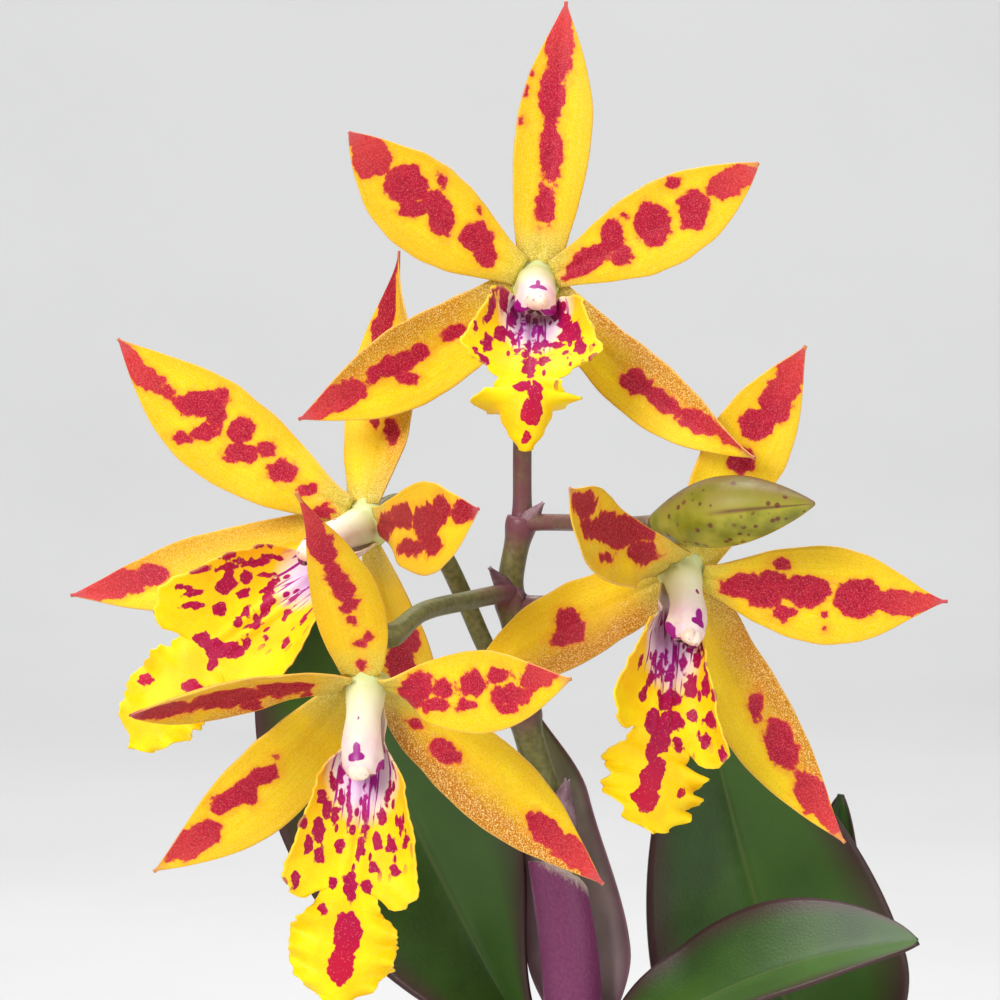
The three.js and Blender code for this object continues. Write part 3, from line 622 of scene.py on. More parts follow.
# Leaves. Thick leathery straps, one on top of each cane, folded along the midrib. They are dark
# green and glossy above, and strong light has stained their margins purple.
# Each leaf's root, tip and bow, the way it looks, its width and fold and, where they aren't the
# usual ones, the place of its widest part and its taper.
LEAVES = dict(
    leaf_left=((8, 10, 209.8), (-40, 14, 312), (-3.5, 9, 0), (-0.35, -0.9, 0.1), 53, 0.4),
    leaf_low_right=((22, -3.6, 210.5), (83, -14, 238), (-3, -3, 5), (0, -0.3, 0.95), 42, 0.3),
    leaf_right=(
        (69, 18, 189.3), (41, 20, 286), (-1.5, 5, -0.7), (0.1, -1, 0.1), 54, 0.25, 0.34, 0.78,
    ),
    leaf_right_back=((70.5, 24, 189.2), (71, 33, 260.5), (-2, 3, 0), (0.1, -1, 0), 15, 0.35),
    leaf_far_left=((-35, 29, 183.7), (-94, 52, 180), (0, 2, 9), (0, -0.2, 1), 44, 0.4),
    leaf_back=((23, 45, 181.7), (48, 112, 180), (0, 2, 9), (-0.2, 0, 1), 42, 0.4),
)
OPEN_FOLD = 0.9


def square_to(v, direction):
    return unit(v - direction * v.dot(direction))


def width_share(outline, t):
    """Share of a blade's full width at t, rising to the widest place and tapering to the tip."""
    widest = outline["widest"]
    if t < widest:
        rise = math.sin(math.pi / 2 * t / widest) ** outline["swell"]
        return outline["root"] + (1 - outline["root"]) * rise
    return math.cos(math.pi / 2 * min(1, (t - widest) / (1 - widest))) ** outline["taper"]


def curve(root, bend, tip):
    """A curve from root to tip drawn towards bend: its place and its way at t."""
    root, bend, tip = (np.array(p, float) for p in (root, bend, tip))

    def at(t):
        point = (1 - t) ** 2 * root + 2 * t * (1 - t) * bend + t * t * tip
        return point, unit((1 - t) * (bend - root) + t * (tip - bend))

    return at


def arch(root, tip, bow):
    """A curve from root to tip whose middle stands off the straight line by bow."""
    return curve(root, (np.array(root, float) + tip) / 2 + 2 * np.array(bow, float), tip)


def laid_out(place, name):
    """The x and y of one of a piece's UV layers."""
    return add("SeparateXYZ", add("UVMap", tree=place.id_data, uv_map=name).outputs[0]).outputs


def veined(span, stretch, scale, detail):
    """Fine lines that run along a blade."""
    return noised(
        add("CombineXYZ", times(span["X"], stretch), span["Y"]).outputs[0], scale, detail
    )


leaf_green, place = new_finish("leaf_leather", 0.25)
span = laid_out(place, "span")
veins, patches = veined(span, 2.0, 60.0, 3.0), mottled(place, 45.0)
edge = maths("ABSOLUTE", less(span["Y"], 0.5))
blade_tone_and_painted_light = coats(
    mixed(patches, (24, 48, 10), (48, 80, 18)),
    (veins, 0.3, (72, 106, 30)),
    # Painted light: the half of the fold past the midrib is painted lighter green, as where it
    # faces the lamps.
    (between(span["Y"], 0.49, 0.54), 0.4, (78, 112, 50)),
    (between(plus(edge, times(patches, 0.05)), 0.36, 0.52), 0.8, (70, 22, 46)),
    (between(edge, 0.02, 0.0), 0.6, (84, 100, 48)),
)
surfaced(leaf_green, blade_tone_and_painted_light, veins, (0.32, 0.5), 0.14, 0.4)

for name, (root, tip, bow, face, width, fold, *shape) in LEAVES.items():
    widest, taper = shape or (0.5, 0.62)
    outline = dict(root=0.2, swell=1, widest=widest, taper=taper)
    at, facing = arch(root, tip, bow), unit(face)

    def weave(u, s):
        t = 1 - (1 - u) ** 1.35
        point, along = at(t)
        normal = square_to(facing, along)
        half = max(0.6, width / 2 * width_share(outline, t))
        folded = OPEN_FOLD + (fold - OPEN_FOLD) * ease(t, 0, 0.35)
        crease = math.sqrt(s * s + 0.0025) - 0.05
        wave = 0.5 * abs(s) ** 3 * noise.noise(Vector((t * 5, s, width)))
        rise = half * crease * math.sin(folded) + wave
        keel = math.exp(-((s * half / 1.6) ** 2))
        thick = (1.6 - 0.7 * abs(s) ** 1.5 + 0.7 * keel) * (0.5 + 0.5 * (1 - t) ** 0.5)
        across = np.cross(along, normal) * half * s * math.cos(folded)
        return point + across + normal * rise, thick, (t, (s + 1) / 2)

    blade(name + "_blade", 70, 28, weave, leaf_green, name, "leaf")


# Spathe and young leaf. The spathe is a stiff papery sheath, purple, with a dry whitish rim cut
# on the slant, and the stalk grew up through it. The young leaf stands folded close behind.
purple_sheath, place = new_finish("spathe_skin", 0.45)
span = laid_out(place, "span")
ribs = veined(span, 1.5, 34.0, 4.0)
dry = between(plus(span["X"], times(ribs, 0.1)), 0.98, 1.04)
side = coats(mixed(ribs, (88, 28, 66), (156, 68, 124)), (dry, (196, 178, 164)))
surfaced(purple_sheath, side, ribs, (0.35, 0.6), 0.5, 0.5)

young_green, place = new_finish("young_leaf_skin", 0.45)
span, patches = laid_out(place, "span"), mottled(place, 120.0)
young = coats(
    mixed(between(span["X"], 0.55, 1.0), (190, 166, 168), (134, 150, 86)),
    (between(maths("ABSOLUTE", less(span["Y"], 0.5)), 0.36, 0.5), 0.8, (122, 64, 92)),
    (patches, 0.3, (60, 76, 40)),
)
surfaced(young_green, young, patches, (0.35, 0.5), 0.2, 0.4)

# Each one's finish and slot, the curve of its back, its half width along it, the way it is open,
# how far it is rolled up, and the slant and tears of its rim.
SHEATHS = dict(
    spathe=(
        purple_sheath, "sheath", [(14.2, -3.7, 209.2), (14.6, -2.9, 231), (10.2, -1, 252.5)],
        [(0, 10.8), (0.6, 10.8), (1, 10)], (0.15, 1, 0), 1.9, 0.2, 0.03,
    ),
    young_leaf=(
        young_green, "young_leaf", [(17, 8, 209.2), (17.5, 14, 246), (4, 15.5, 285)],
        [(0, 4.5), (0.3, 12), (0.7, 8.5), (1, 1.2)], (0, -1, 0), 0.9, 0, 0,
    ),
)
for name, (finish, slot, back, halves, face, roll, slant, torn) in SHEATHS.items():
    at, facing = curve(*back), unit(face)

    def weave(t, s):
        ragged = 1 - torn * abs(noise.noise(Vector((s * 6, 0, 3)))) * t**4
        point, along = at(min(1, max(0, t * (1 + slant * s))) * ragged)
        normal = square_to(facing, along)
        half = profile(halves, t)
        curl = point + np.cross(along, normal) * half * math.sin(roll * s) / roll
        thick = 0.8 * (1 - 0.5 * t) * (1 - 0.4 * abs(s) ** 4)
        return curl + normal * half * (1 - math.cos(roll * s)) / roll, thick, (t, (s + 1) / 2)

    blade(name + "_wrap", 50, 44, weave, finish, name, slot)


# Blooms: where each one's heart is, the way it looks, and its five tepals and lip. These values
# place the flower stems as well as the blooms.
def tepal(tip, bow, face, width, cup=0.3, **more):
    """Tip and bow of a tepal, the way it looks, its width and how far its sides cup up."""
    return dict(tip=tip, bow=bow, face=face, width=width, cup=cup, **more)


def lip(tip, hang, reach, face, **more):
    """Tip of a lip, the way it hangs there, how far it runs straight at each end, and the way it
    looks. Further: what its middle lobe tucks in, the slant, droop, clasp and fold of its side
    lobes, and the shares of the usual size."""
    usual = dict(tuck=0.3, skew=0, size=1, middle=1, clasp=0, fold=0, sag=4.5)
    return dict(usual, tip=tip, hang=hang, reach=reach, face=face, **more)


BLOOMS = dict(
    top=dict(
        heart=(7, -12, 368.5), facing=(0, -0.98, -0.16),
        dorsal_sepal=tepal((13, -6, 424), (0.3, -2, 0), (0, -1, 0.1), 15.3, 0.35),
        left_sepal=tepal((-39, -26, 343), (0.5, 2, -2), (0, -1, 0.1), 16.5, 0.35),
        right_sepal=tepal((49, -34, 336), (-1.2, 4, -3), (0.1, -1, 0.2), 13, turn=40),
        left_petal=tepal((-29, -28, 398.5), (-1, 1, -2), (0, -1, 0), 18.5, taper=0.85),
        right_petal=tepal((50, -24, 392.5), (0.5, 1, -1.5), (0, -1, 0), 17, taper=0.85),
        lip=lip(
            (5, -41, 338), (0, 0.3, -1), (22, 17), (0, -1, -0.15),
            tuck=2.3, skew=0.06, clasp=3.5, sag=-1.2,
        ),
    ),
    left=dict(
        heart=(-27, -18, 321.5), facing=(-0.6, -0.75, -0.25),
        dorsal_sepal=tepal((-20, -7, 375), (1.2, 3, 0), (-0.3, -0.95, 0), 15.5, 0.4, turn=-65),
        left_sepal=tepal((-85.5, -6, 306.5), (0, 4, -2.5), (0, -0.9, 0.4), 15.5),
        right_sepal=tepal((-11, -3, 272), (-0.5, 3, 0), (-0.5, -0.85, 0), 13, root=0.36),
        left_petal=tepal((-75, -14, 358), (-0.9, 2, -2.9), (0, -1, 0.1), 19, 0.25),
        right_petal=tepal((-4, -64, 329), (0, -6, -2), (-0.9, -0.45, 0), 18),
        lip=lip(
            (-69, -42, 280.5), (-0.25, 0.05, -0.97), (24, 19), (-0.3, -0.93, 0.15),
            size=1.12, middle=0.7,
        ),
    ),
    right=dict(
        heart=(35.5, -24, 312), facing=(0.06, -0.8, -0.6),
        dorsal_sepal=tepal((59.5, -22, 357), (-0.5, 3, 0.5), (0, -1, 0), 16.5, 0.35),
        left_sepal=tepal((-8, -22, 289.5), (0.5, 3, 0.5), (0, -0.9, 0.35), 16, root=0.6),
        right_sepal=tepal((67.5, -26, 260), (-3, 3, -1.2), (0.5, -0.85, 0), 16.5),
        left_petal=tepal(
            (13, -66, 333), (-4, -5, -1.9), (0.85, -0.5, 0.1), 16.5, 0.35, root=0.55, widest=0.6,
        ),
        right_petal=tepal((87.5, -22, 307), (-1, -1, -0.8), (0, -1, 0), 19.5, 0.25, taper=1.25),
        lip=lip(
            (31, -45, 265), (0.1, 0.1, -1), (20, 18), (0.5, -0.87, 0.1),
            tuck=0.6, skew=-0.22, fold=1.1,
        ),
    ),
    front=dict(
        heart=(-25.5, -46, 292.5), facing=(-0.06, -0.55, -0.83),
        dorsal_sepal=tepal(
            (-37, -83, 333.5), (2, 2, 0), (0.1, -0.8, -0.6), 13.5, -0.5, widest=0.34, taper=1.4,
        ),
        left_sepal=tepal((-67, -36, 256), (2.3, 3, -2), (0, -1, 0), 16),
        right_sepal=tepal((20, -36, 253.5), (-0.5, 3, 0.5), (0, -1, 0.1), 16),
        left_petal=tepal(
            (-68.5, -70, 291), (0, 2, 2.2), (0, -0.55, -0.8), 19, 0.45, widest=0.6, taper=0.8,
        ),
        right_petal=tepal((13, -75, 298.5), (0, 2, -2), (0, -1, 0.1), 15.8),
        lip=lip((-30.5, -53, 233.5), (0, 0.1, -1), (20, 18), (0, -1, 0.05), size=0.95),
    ),
)


def bloom_axes(bloom):
    """Heart of a bloom, the way it looks and the way up to its dorsal sepal."""
    heart, out = np.array(bloom["heart"], float), unit(bloom["facing"])
    return heart, out, square_to(np.array(bloom["dorsal_sepal"]["tip"], float) - heart, out)


# Spray. One green stalk climbs out of the flowering cane, jointed where each flower stem leaves
# it, with a dry bract at each joint. A flower stem swells into a ribbed ovary behind its bloom.
STALK = [
    (15.5, 2, 208.8), (15, 3, 228), (13, 4, 246), (10, 5, 263),
    (5.5, 6, 278), (3.5, 6, 296), (2, 6, 306), (4.5, 6, 321),
]
PEDICELS = dict(
    top=[(4.5, 6, 319), (4.5, 5, 336), (5, 4, 352), (6.3, 2, 364)],
    left=[(5, 6, 281), (-2.5, 6, 294), (-7, 3, 304.5), (-12, -2, 315), (-18, -7, 321.5)],
    right=[(3, 6, 303), (15, 5, 304), (26, 0, 309), (33, -10, 317)],
    front=[(2.5, 6, 306), (-6, -6, 305.5), (-15.5, -24, 305), (-21, -36, 302)],
)
BUD_PEDICEL = [
    (4.5, 6, 320), (12, 0, 320.5), (20, -13, 321.5), (25.5, -21.8, 322), (29.8, -25.2, 322.6),
]
JOINT_HEIGHTS = (256, 281, 304, 319.5)
# Root, tip and width of each bract.
BRACTS = [
    ((3.2, 5, 304), (-2, 1.5, 311), 5), ((4.5, 5, 319), (8.5, 2, 324), 4.5),
    ((4.5, 6, 300), (8.5, 2, 305), 4), ((11, 4, 256), (13.5, 0, 268), 9),
]
PEDICEL_RADIUS, OVARY_RADIUS, OVARY_DEPTH = 1.9, 3.0, 2.3

stem_green, place = new_finish("stem_skin", 0.45)
fine = mottled(place, 900.0)
stained = plus(times(mottled(place, 180.0), 0.5), 0.6)
stained = add("Clamp", times(attribute(place, "purple"), stained)).outputs[0]
stem_tone = mixed(stained, mixed(fine, (92, 98, 44), (126, 128, 68)), (118, 68, 80))
surfaced(stem_green, stem_tone, fine, (0.35, 0.5), 0.2, 0.3)

bract_mauve, place = new_finish("bract_skin", 0.35)
fine = mottled(place, 1500.0, Detail=4.0)
dusk = mixed(mottled(place, 260.0), (92, 50, 76), (158, 128, 142))
surfaced(bract_mauve, coats(dusk, (fine, 0.3, (120, 100, 70))), fine, (0.45, 0.7), 0.4, 0.3)


def stem_piece(name, line, radii, sides, stain):
    stem = skin(name, tube(line, radii, sides), stem_green, "flower_spray", "stalk")
    marked(stem, "purple", stain, sides)


line = smooth_path(STALK, 150)
bumps = [max(math.exp(-(((z - h) / 2.6) ** 2)) for h in JOINT_HEIGHTS) for z in line[:, 2]]
radii = [
    profile([(0, 3.6), (0.5, 3.1), (1, 2.6)], i / 150) * 0.97 + 0.7 * bump
    for i, bump in enumerate(bumps)
]
stain = [0.15 + 0.7 * b + 0.5 * ease(z, 306, 322) for b, z in zip(bumps, line[:, 2])]
stem_piece("stalk", line, radii, 28, stain)
for flower, bloom in BLOOMS.items():
    heart, out, up = bloom_axes(bloom)
    end = heart - out * OVARY_DEPTH
    line = smooth_path([*PEDICELS[flower], tuple(end - out * 9), tuple(end)], 90)
    radii = []
    for i in range(91):
        swell = profile([(0, PEDICEL_RADIUS), (0.6, PEDICEL_RADIUS), (1, OVARY_RADIUS)], i / 90)
        ribs = 0.07 * ease(i / 90, 0.5, 0.8) * np.cos(6 * turns_in(30))
        radii.append(swell * (1 + ribs) + 0.5 * math.exp(-((i / 5) ** 2)))
    far = 0.85 if flower == "top" else 0.3
    stain = [0.15 + 0.85 * (1 - ease(i / 90, 0, far)) for i in range(91)]
    stem_piece(flower + "_pedicel", line, radii, 30, stain)
radii = [PEDICEL_RADIUS * 0.9 + 0.4 * math.exp(-((i / 4) ** 2)) for i in range(61)]
stain = [1 - 0.5 * i / 60 for i in range(61)]
stem_piece("bud_pedicel", smooth_path(BUD_PEDICEL, 60), radii, 24, stain)
for k, (root, tip, width) in enumerate(BRACTS):
    root, tip = np.array(root, float), np.array(tip, float)
    along = unit(tip - root)
    normal = square_to(np.array((0, -1.0, 0)), along)

    def weave(t, s):
        half = width / 2 * max(0.1, 1 - t**1.5)
        lift = width * (0.25 * (1 - t) - 0.2 * s * s)
        across = np.cross(along, normal) * half * s
        return root + (tip - root) * t + across + normal * lift, 0.7 - 0.4 * t

    blade(f"bract_{k + 1}", 20, 16, weave, bract_mauve, "flower_spray", "sheath")


# Bud. The last flower, still shut: three sepals pressed edge to edge in a fat pointed spindle,
# yellow-green with a purple flush over its back and small dark spots below.
bud_skin, place = new_finish("bud_skin", 0.3)
layout, patches = laid_out(place, "around"), mottled(place, 200.0)
spots = between(add("TexVoronoi", Vector=place, Scale=480.0).outputs["Distance"], 0.3, 0.22)
streak = between(maths("ABSOLUTE", less(layout["Y"], 0.42)), 0.035, 0.0)
bud_tone = coats(
    mixed(patches, (118, 118, 26), (168, 160, 52)),
    (between(plus(layout["Y"], times(patches, 0.25)), 0.55, 1.0), 0.85, (96, 62, 40)),
    (times(spots, mottled(place, 140.0, Low=0.42, High=0.5)), 0.8, (96, 22, 34)),
    (times(streak, between(layout["X"], 0.15, 0.2)), 0.85, (92, 34, 40)),
    (between(layout["X"], 0.325, 0.37), 0.7, (140, 84, 96)),
)
surfaced(bud_skin, bud_tone, patches, (0.35, 0.5), 0.3, 0.3)

seams = 1.01 - 0.05 * (1 - np.abs(np.sin(1.5 * turns_in(48) + 0.6)) ** 0.4)
radii = [
    (0.35 + 6.5 * max(0, math.sin(math.pi * (0.08 + 0.92 * i / 70))) ** 0.9) * seams
    for i in range(71)
]
line = smooth_path([(30.3, -25.55, 322.7), (45.5, -36, 326.3), (60, -42, 328)], 70)
rings = tube(line, radii, 48, first=(0, -0.3, -1))
skin("bud_shut", rings, bud_skin, "bud", "bud", around(rings))


# Tepals. Three sepals and two petals a bloom: thin waxy blades, yellow with crimson blotches that
# sit in the same places on the living flower, a groove down the middle and a fine crystalline grain
# whose glitter is painted on as small highlights.
SEPAL_OUTLINE = dict(root=0.55, swell=1, widest=0.5, taper=1.05)
PETAL_OUTLINE = dict(root=0.34, swell=1.35, widest=0.54, taper=1)
TEPAL_ROOT, OUTER_WHORL, INNER_WHORL = 4.0, -1.3, -0.1
TEPALS = ("dorsal_sepal", "left_sepal", "right_sepal", "left_petal", "right_petal")

# Blotches of each tepal: millimetres from its root and to the right of its midline, half length,
# half width and turn in degrees.
BLOTCHES = dict(
    top_dorsal_sepal=[
        (44, -0.5, 8.5, 2.5, -5), (32.5, -1, 6, 2.2, -5), (21.5, 0, 5.5, 2.2, -5),
        (11.5, 0, 4, 1.8, -5), (50, 0, 2.5, 1, 0), (37, -6, 0.6, 0.6, 0), (33.5, -6.8, 0.8, 0.6, 0),
        (27.5, -7, 0.8, 0.6, 0),
    ],
    top_left_petal=[
        (39.5, 0, 4, 3.5, 25), (43.5, 0.5, 2.5, 1.7, -20), (30.5, 1, 4, 3.6, -30),
        (26, -1.5, 3.5, 1.6, -40), (21.5, 1, 4.6, 2.5, 30), (26, 6.5, 1.5, 0.8, 40),
        (12, 1.5, 3.4, 2.9, -20), (8.5, -0.5, 2.5, 2.2, 5), (15, 6, 0.9, 0.6, 40),
    ],
    top_right_petal=[
        (40.5, 0, 5, 2.5, 10), (31.5, 0.5, 3.5, 3, -55), (30.5, -6, 1.5, 1.2, 25),
        (23, -1, 4, 3.5, -55), (19, -5, 0.8, 0.6, 20), (14.5, -2.5, 3, 2.5, -55),
        (14.5, 2, 2, 2, 20), (9, -0.5, 4.5, 2, 0), (6, 0.5, 3.5, 1.8, -5),
    ],
    top_left_sepal=[
        (42, 1, 5, 2.5, 5), (48, 0.3, 4, 1.6, 0), (28.5, 1.5, 6, 2, 5), (23, 1.5, 2, 1.5, 25),
        (15, 1, 2.5, 1.4, 15), (28.5, -1.5, 2.5, 1, 30),
    ],
    top_right_sepal=[
        (25, 0, 3.5, 2.2, -10), (32, -0.5, 4.5, 1.8, -5), (41, -1, 5.5, 2, -10),
        (49.5, -2, 4, 1.5, -15),
    ],
    left_dorsal_sepal=[
        (42, -2.5, 9, 2.6, -5), (34, -3.5, 5, 1.6, -5), (14.5, 3, 2.5, 1.5, -20),
        (16.5, -1, 1.4, 1, -20), (49, -0.5, 3, 1.6, 0),
    ],
    left_left_petal=[
        (48, -1.5, 5.5, 2, -10), (53, -0.5, 3, 1.4, 0), (37, 2, 4.5, 2.5, -40),
        (33.5, 2.5, 3, 2, 50), (35, 6, 1.5, 1.2, -40), (33, -2, 2.5, 1.5, -40),
        (35.5, -5.5, 2, 1, -40), (27.5, 2.5, 2.5, 2.5, 50), (25, -1, 3, 2, -35),
        (21, 2.5, 2, 1.4, -30), (16, 0.5, 3, 2, -30), (9.5, 0, 1.6, 1.2, -30),
        (5, -3, 2.5, 1.6, -45),
    ],
    left_right_petal=[
        (4.5, 0.5, 5, 2.2, -25), (14.5, -2.5, 5, 2.3, -5), (25, -1, 6, 3.4, 0),
        (33, -3, 4, 2.5, -10), (18, 3.5, 6.5, 1.6, 0), (27, 3, 4.5, 2, 5), (43, -1, 5, 2.4, 0),
        (48, 0, 3, 1.6, 5),
    ],
    left_left_sepal=[(49, 1, 7, 2.7, 0), (54.5, 0, 4, 2, 0), (42, 2, 3.4, 2.2, 5)],
    left_right_sepal=[(26.5, 1.5, 4.5, 3, 30), (22, -2.5, 3, 2, 35)],
    right_dorsal_sepal=[
        (40.5, 0.5, 6, 2.8, -10), (34.5, 0.5, 4.5, 3, -10), (28.5, -0.5, 3, 3, 85),
        (21, 0, 2.5, 2.6, 65),
    ],
    right_left_petal=[
        (38, 2, 7, 2.5, -20), (20.5, 3, 10, 3, -10), (10, 1, 4, 2.2, -5), (10, 5, 1.5, 1.4, 55),
        (23, -3.5, 3.5, 1, -20), (30.5, 0, 5.5, 2, -20),
    ],
    right_right_petal=[
        (9, 0, 4.5, 2.4, -10), (13.5, 2, 3, 2, -5), (15.5, -5, 2, 1.2, -5), (14, -2, 3, 1.5, -5),
        (17.5, 4.5, 2, 1.4, -5), (21, -0.5, 5, 2.9, -5), (31.5, 0, 4.3, 3.6, -5),
        (39.5, 0.5, 5.5, 2.5, 5), (46, 0, 3, 1.4, 0), (25, 4, 0.6, 0.6, 0),
        (25.5, 6.5, 0.6, 0.6, 0),
    ],
    right_left_sepal=[(21, 0, 3.5, 2.6, -85), (24, -1.5, 2, 1.5, 35)],
    right_right_sepal=[
        (27.5, -1.5, 3, 1.5, 35), (36.5, -2, 4.6, 2.9, 15), (48, -1, 4.5, 3.2, 10),
        (53.5, -0.5, 3, 1.8, 10),
    ],
    front_dorsal_sepal=[
        (46, 0, 4, 2.2, 5), (38, -0.5, 5.5, 2.4, 0), (27, 0, 6.5, 1.8, -5), (21, 0.5, 2.5, 1.5, 10),
        (16, 0, 1.1, 0.8, 5), (11.5, 2.5, 1.1, 0.7, 5), (9.5, 0.5, 1.4, 0.8, 5),
        (3, 0.5, 2, 0.8, 5),
    ],
    front_left_petal=[
        (38, -2, 8, 2.4, 16), (25, -3, 8, 3, 5), (14, -1.5, 5.5, 2.4, 15), (10, -0.5, 3, 1.8, 30),
        (18.5, -6.5, 3, 1.2, 10), (7, -4.5, 1.5, 1, 55),
    ],
    front_right_petal=[
        (8, 0, 4.5, 3, -30), (15, -0.5, 3.4, 1.6, 0), (22.5, -1.5, 3, 2.3, -10),
        (28.5, -3, 2.5, 1.5, 0), (30.5, 1, 4, 1.9, 5), (38, -2, 5, 2.4, -10), (20, 2.5, 2, 1.1, 0),
        (29.5, 3.5, 2, 0.9, 5), (13, 2.5, 3, 1.5, 0),
    ],
    front_left_sepal=[
        (45, 1, 4.5, 2.8, 5), (40.5, 0.5, 2.5, 2.3, -50), (34, 3, 3, 1.8, 5),
        (29.5, 2.5, 3, 1.9, 5), (25, 2, 3, 1.8, 20), (30, 0, 1.4, 1.1, 35), (20, 3, 0.8, 0.6, 40),
    ],
    front_right_sepal=[
        (18, 1.5, 3, 1.9, -10), (9, 1, 1.5, 1.2, -20), (43, 0, 4.5, 2.4, 0),
        (49, -0.5, 4.5, 2.3, 0), (54.5, 0, 2.5, 1.4, -5),
    ],
)
# Painted shade: the flank of a tepal that turns from the light is painted a deeper orange-brown;
# left -1 or right 1, and how strongly.
SHADED_FLANKS = dict(
    top_dorsal_sepal=(0, 0.6), top_left_sepal=(1, 0.8), top_right_sepal=(-1, 0.9),
    left_dorsal_sepal=(1, 0.6), left_left_sepal=(1, 0.5), left_right_petal=(0, 0.4),
    right_left_sepal=(-1, 0.9), right_right_sepal=(-1, 0.9), right_left_petal=(0, 1.0),
    front_right_sepal=(1, 1.0), front_left_petal=(0, 1.6), front_dorsal_sepal=(0, 0.5),
)

# Tepals that turn their face from the light; their blotches are painted darker, almost oxblood, as
# painted shade.
SHADED_TEPALS = ("left_right_petal", "right_left_petal", "front_left_petal", "left_dorsal_sepal")
# What the blotches of tepals and the marks of lips have of the sizes given for them.
BLOTCH_SIZE, LIP_MARK_SIZE = 1.12, 0.95
# Across a blade, its midline lies this many millimetres from the zero of its flat UV layer.
MIDLINE = 50

blotch, taken, given = new_group(
    "blotch", dict(Others=-50.0, Place=None, Centre=None, Radii=None, Turn=0.0), ["Inside"]
)
offset = add("VectorMath", taken["Place"], taken["Centre"], operation="SUBTRACT").outputs[0]
back = times(taken["Turn"], -1.0)
lined_up = add("VectorRotate", Vector=offset, Angle=back, rotation_type="Z_AXIS").outputs[0]
shrunk = add("VectorMath", lined_up, taken["Radii"], operation="DIVIDE").outputs[0]
away = add("VectorMath", shrunk, operation="LENGTH").outputs["Value"]
inside = times(less(1.0, away), add("SeparateXYZ", taken["Radii"]).outputs["Y"])
feed(given["Inside"], maths("SMOOTH_MAX", taken["Others"], inside, 0.4))


def blotched(spots, marks, size=1, middle=MIDLINE):
    """How far inside any of the blotches a place is, in millimetres."""
    inside = -50.0
    for along, across, length, width, turn in marks:
        inside = placed(
            blotch, Place=spots, Centre=(along, across + middle, 0), Others=inside,
            Radii=(length * size, width * size, 1), Turn=math.radians(turn),
        )["Inside"]
    return inside


def swing(value, size):
    """A value of 0 to 1 as one that swings about nothing."""
    return times(less(value, 0.5), size)


# The skin of the tepals: tiny domed cells, some of which are picked out as glints, painted into the
# colour as small highlights and raised a little.
crystal, taken, given = new_group("crystal cells", dict(Place=None), ["Glint", "Grain"])
cells = add("TexVoronoi", Vector=taken["Place"], Scale=3300.0).outputs
lucky = between(add("SeparateColor", cells["Color"]).outputs[0], 0.72, 0.98)
feed(given["Glint"], times(lucky, between(cells["Distance"], 0.5, 0.1)))
feed(given["Grain"], noised(taken["Place"], 3600.0, 1.0))

tepal_paint, taken, given = new_group(
    "tepal paint", dict(Place=None, Span=None, Inside=-50.0, Side=0.0, Tan=0.2, Deep=0.0),
    ["Colour", "Roughness", "Height"],
)
place, span = taken["Place"], add("SeparateXYZ", taken["Span"]).outputs
cells = placed(crystal, Place=place)
tone = mottled(place, 130.0, Detail=3.0)
lobed, ragged = noised(place, 420.0, 1.0), noised(place, 1300.0, 1.0)
veins = veined(span, 0.1, 24.0, 2.0)
flank = less(times(span["Y"], 2.0), 1.0)
edge = maths("ABSOLUTE", flank)
distance = plus(
    plus(taken["Inside"], swing(lobed, 2.6)), plus(swing(ragged, 0.7), swing(cells["Grain"], 0.8))
)
marked_by = between(distance, -0.16, 0.16)
# Painted shade on the flank that turns from the light, a little patchy.
leaning = plus(times(flank, taken["Side"]), times(tone, 0.4))
painted_shade = add("Clamp", times(between(leaning, -0.15, 0.9), taken["Tan"])).outputs[0]
foot = between(plus(span["X"], times(tone, 0.08)), 0.24, 0.06)
# The blotches pale towards the tip, except on tepals in painted shade.
pale_end = times(between(span["X"], 0.68, 0.95), less(0.8, taken["Deep"]))
deep = coats(
    mixed(lobed, (148, 0, 42), (194, 20, 56)),
    (add("Clamp", pale_end).outputs[0], (216, 66, 58)),
    # Painted shade: blotches on tepals turned from the light go almost oxblood.
    (taken["Deep"], 0.8, (142, 0, 18)),
    (between(distance, 0.6, 0.0), 0.7, (198, 34, 40)),
)
grainy = maths("MAXIMUM", times(painted_shade, 0.75), times(foot, 0.6))
grainy = maths("MAXIMUM", grainy, maths("MULTIPLY_ADD", marked_by, 0.3, 0.18))
bright = times(between(cells["Grain"], 0.5, 0.68), grainy)
dark = times(between(cells["Grain"], 0.48, 0.3), grainy)
painted_glint = times(cells["Glint"], times(grainy, 0.8))
colour = coats(
    mixed(tone, (250, 204, 0), (255, 222, 6)),
    (between(veins, 0.45, 0.7), 0.3, (236, 176, 2)),
    (between(edge, 0.45, 1.0), 0.5, (224, 172, 8)),
    # Painted shade: that flank goes deeper orange-brown.
    (painted_shade, (196, 122, 14)),
    (foot, 0.65, (188, 184, 84)),
    (between(distance, -1.3, 0.1), 0.5, (240, 128, 16)),
    (marked_by, deep),
    (bright, mixed(marked_by, (255, 226, 140), (224, 92, 92))),
    (dark, 0.7, mixed(marked_by, (150, 78, 12), (120, 0, 24))),
    # Painted highlights: glints of light on the crystal cells, painted into the colour.
    (painted_glint, mixed(marked_by, (255, 240, 200), (240, 150, 140))),
    (between(edge, 0.95, 0.99), 0.45, (246, 196, 96)),
    (between(span["X"], 0.93, 1.0), 0.7, (186, 90, 96)),
)
feed(given["Colour"], colour)
feed(given["Roughness"], ranged(cells["Grain"], 0.4, 0.65))
feed(given["Height"], plus(plus(cells["Grain"], cells["Glint"]), veins))


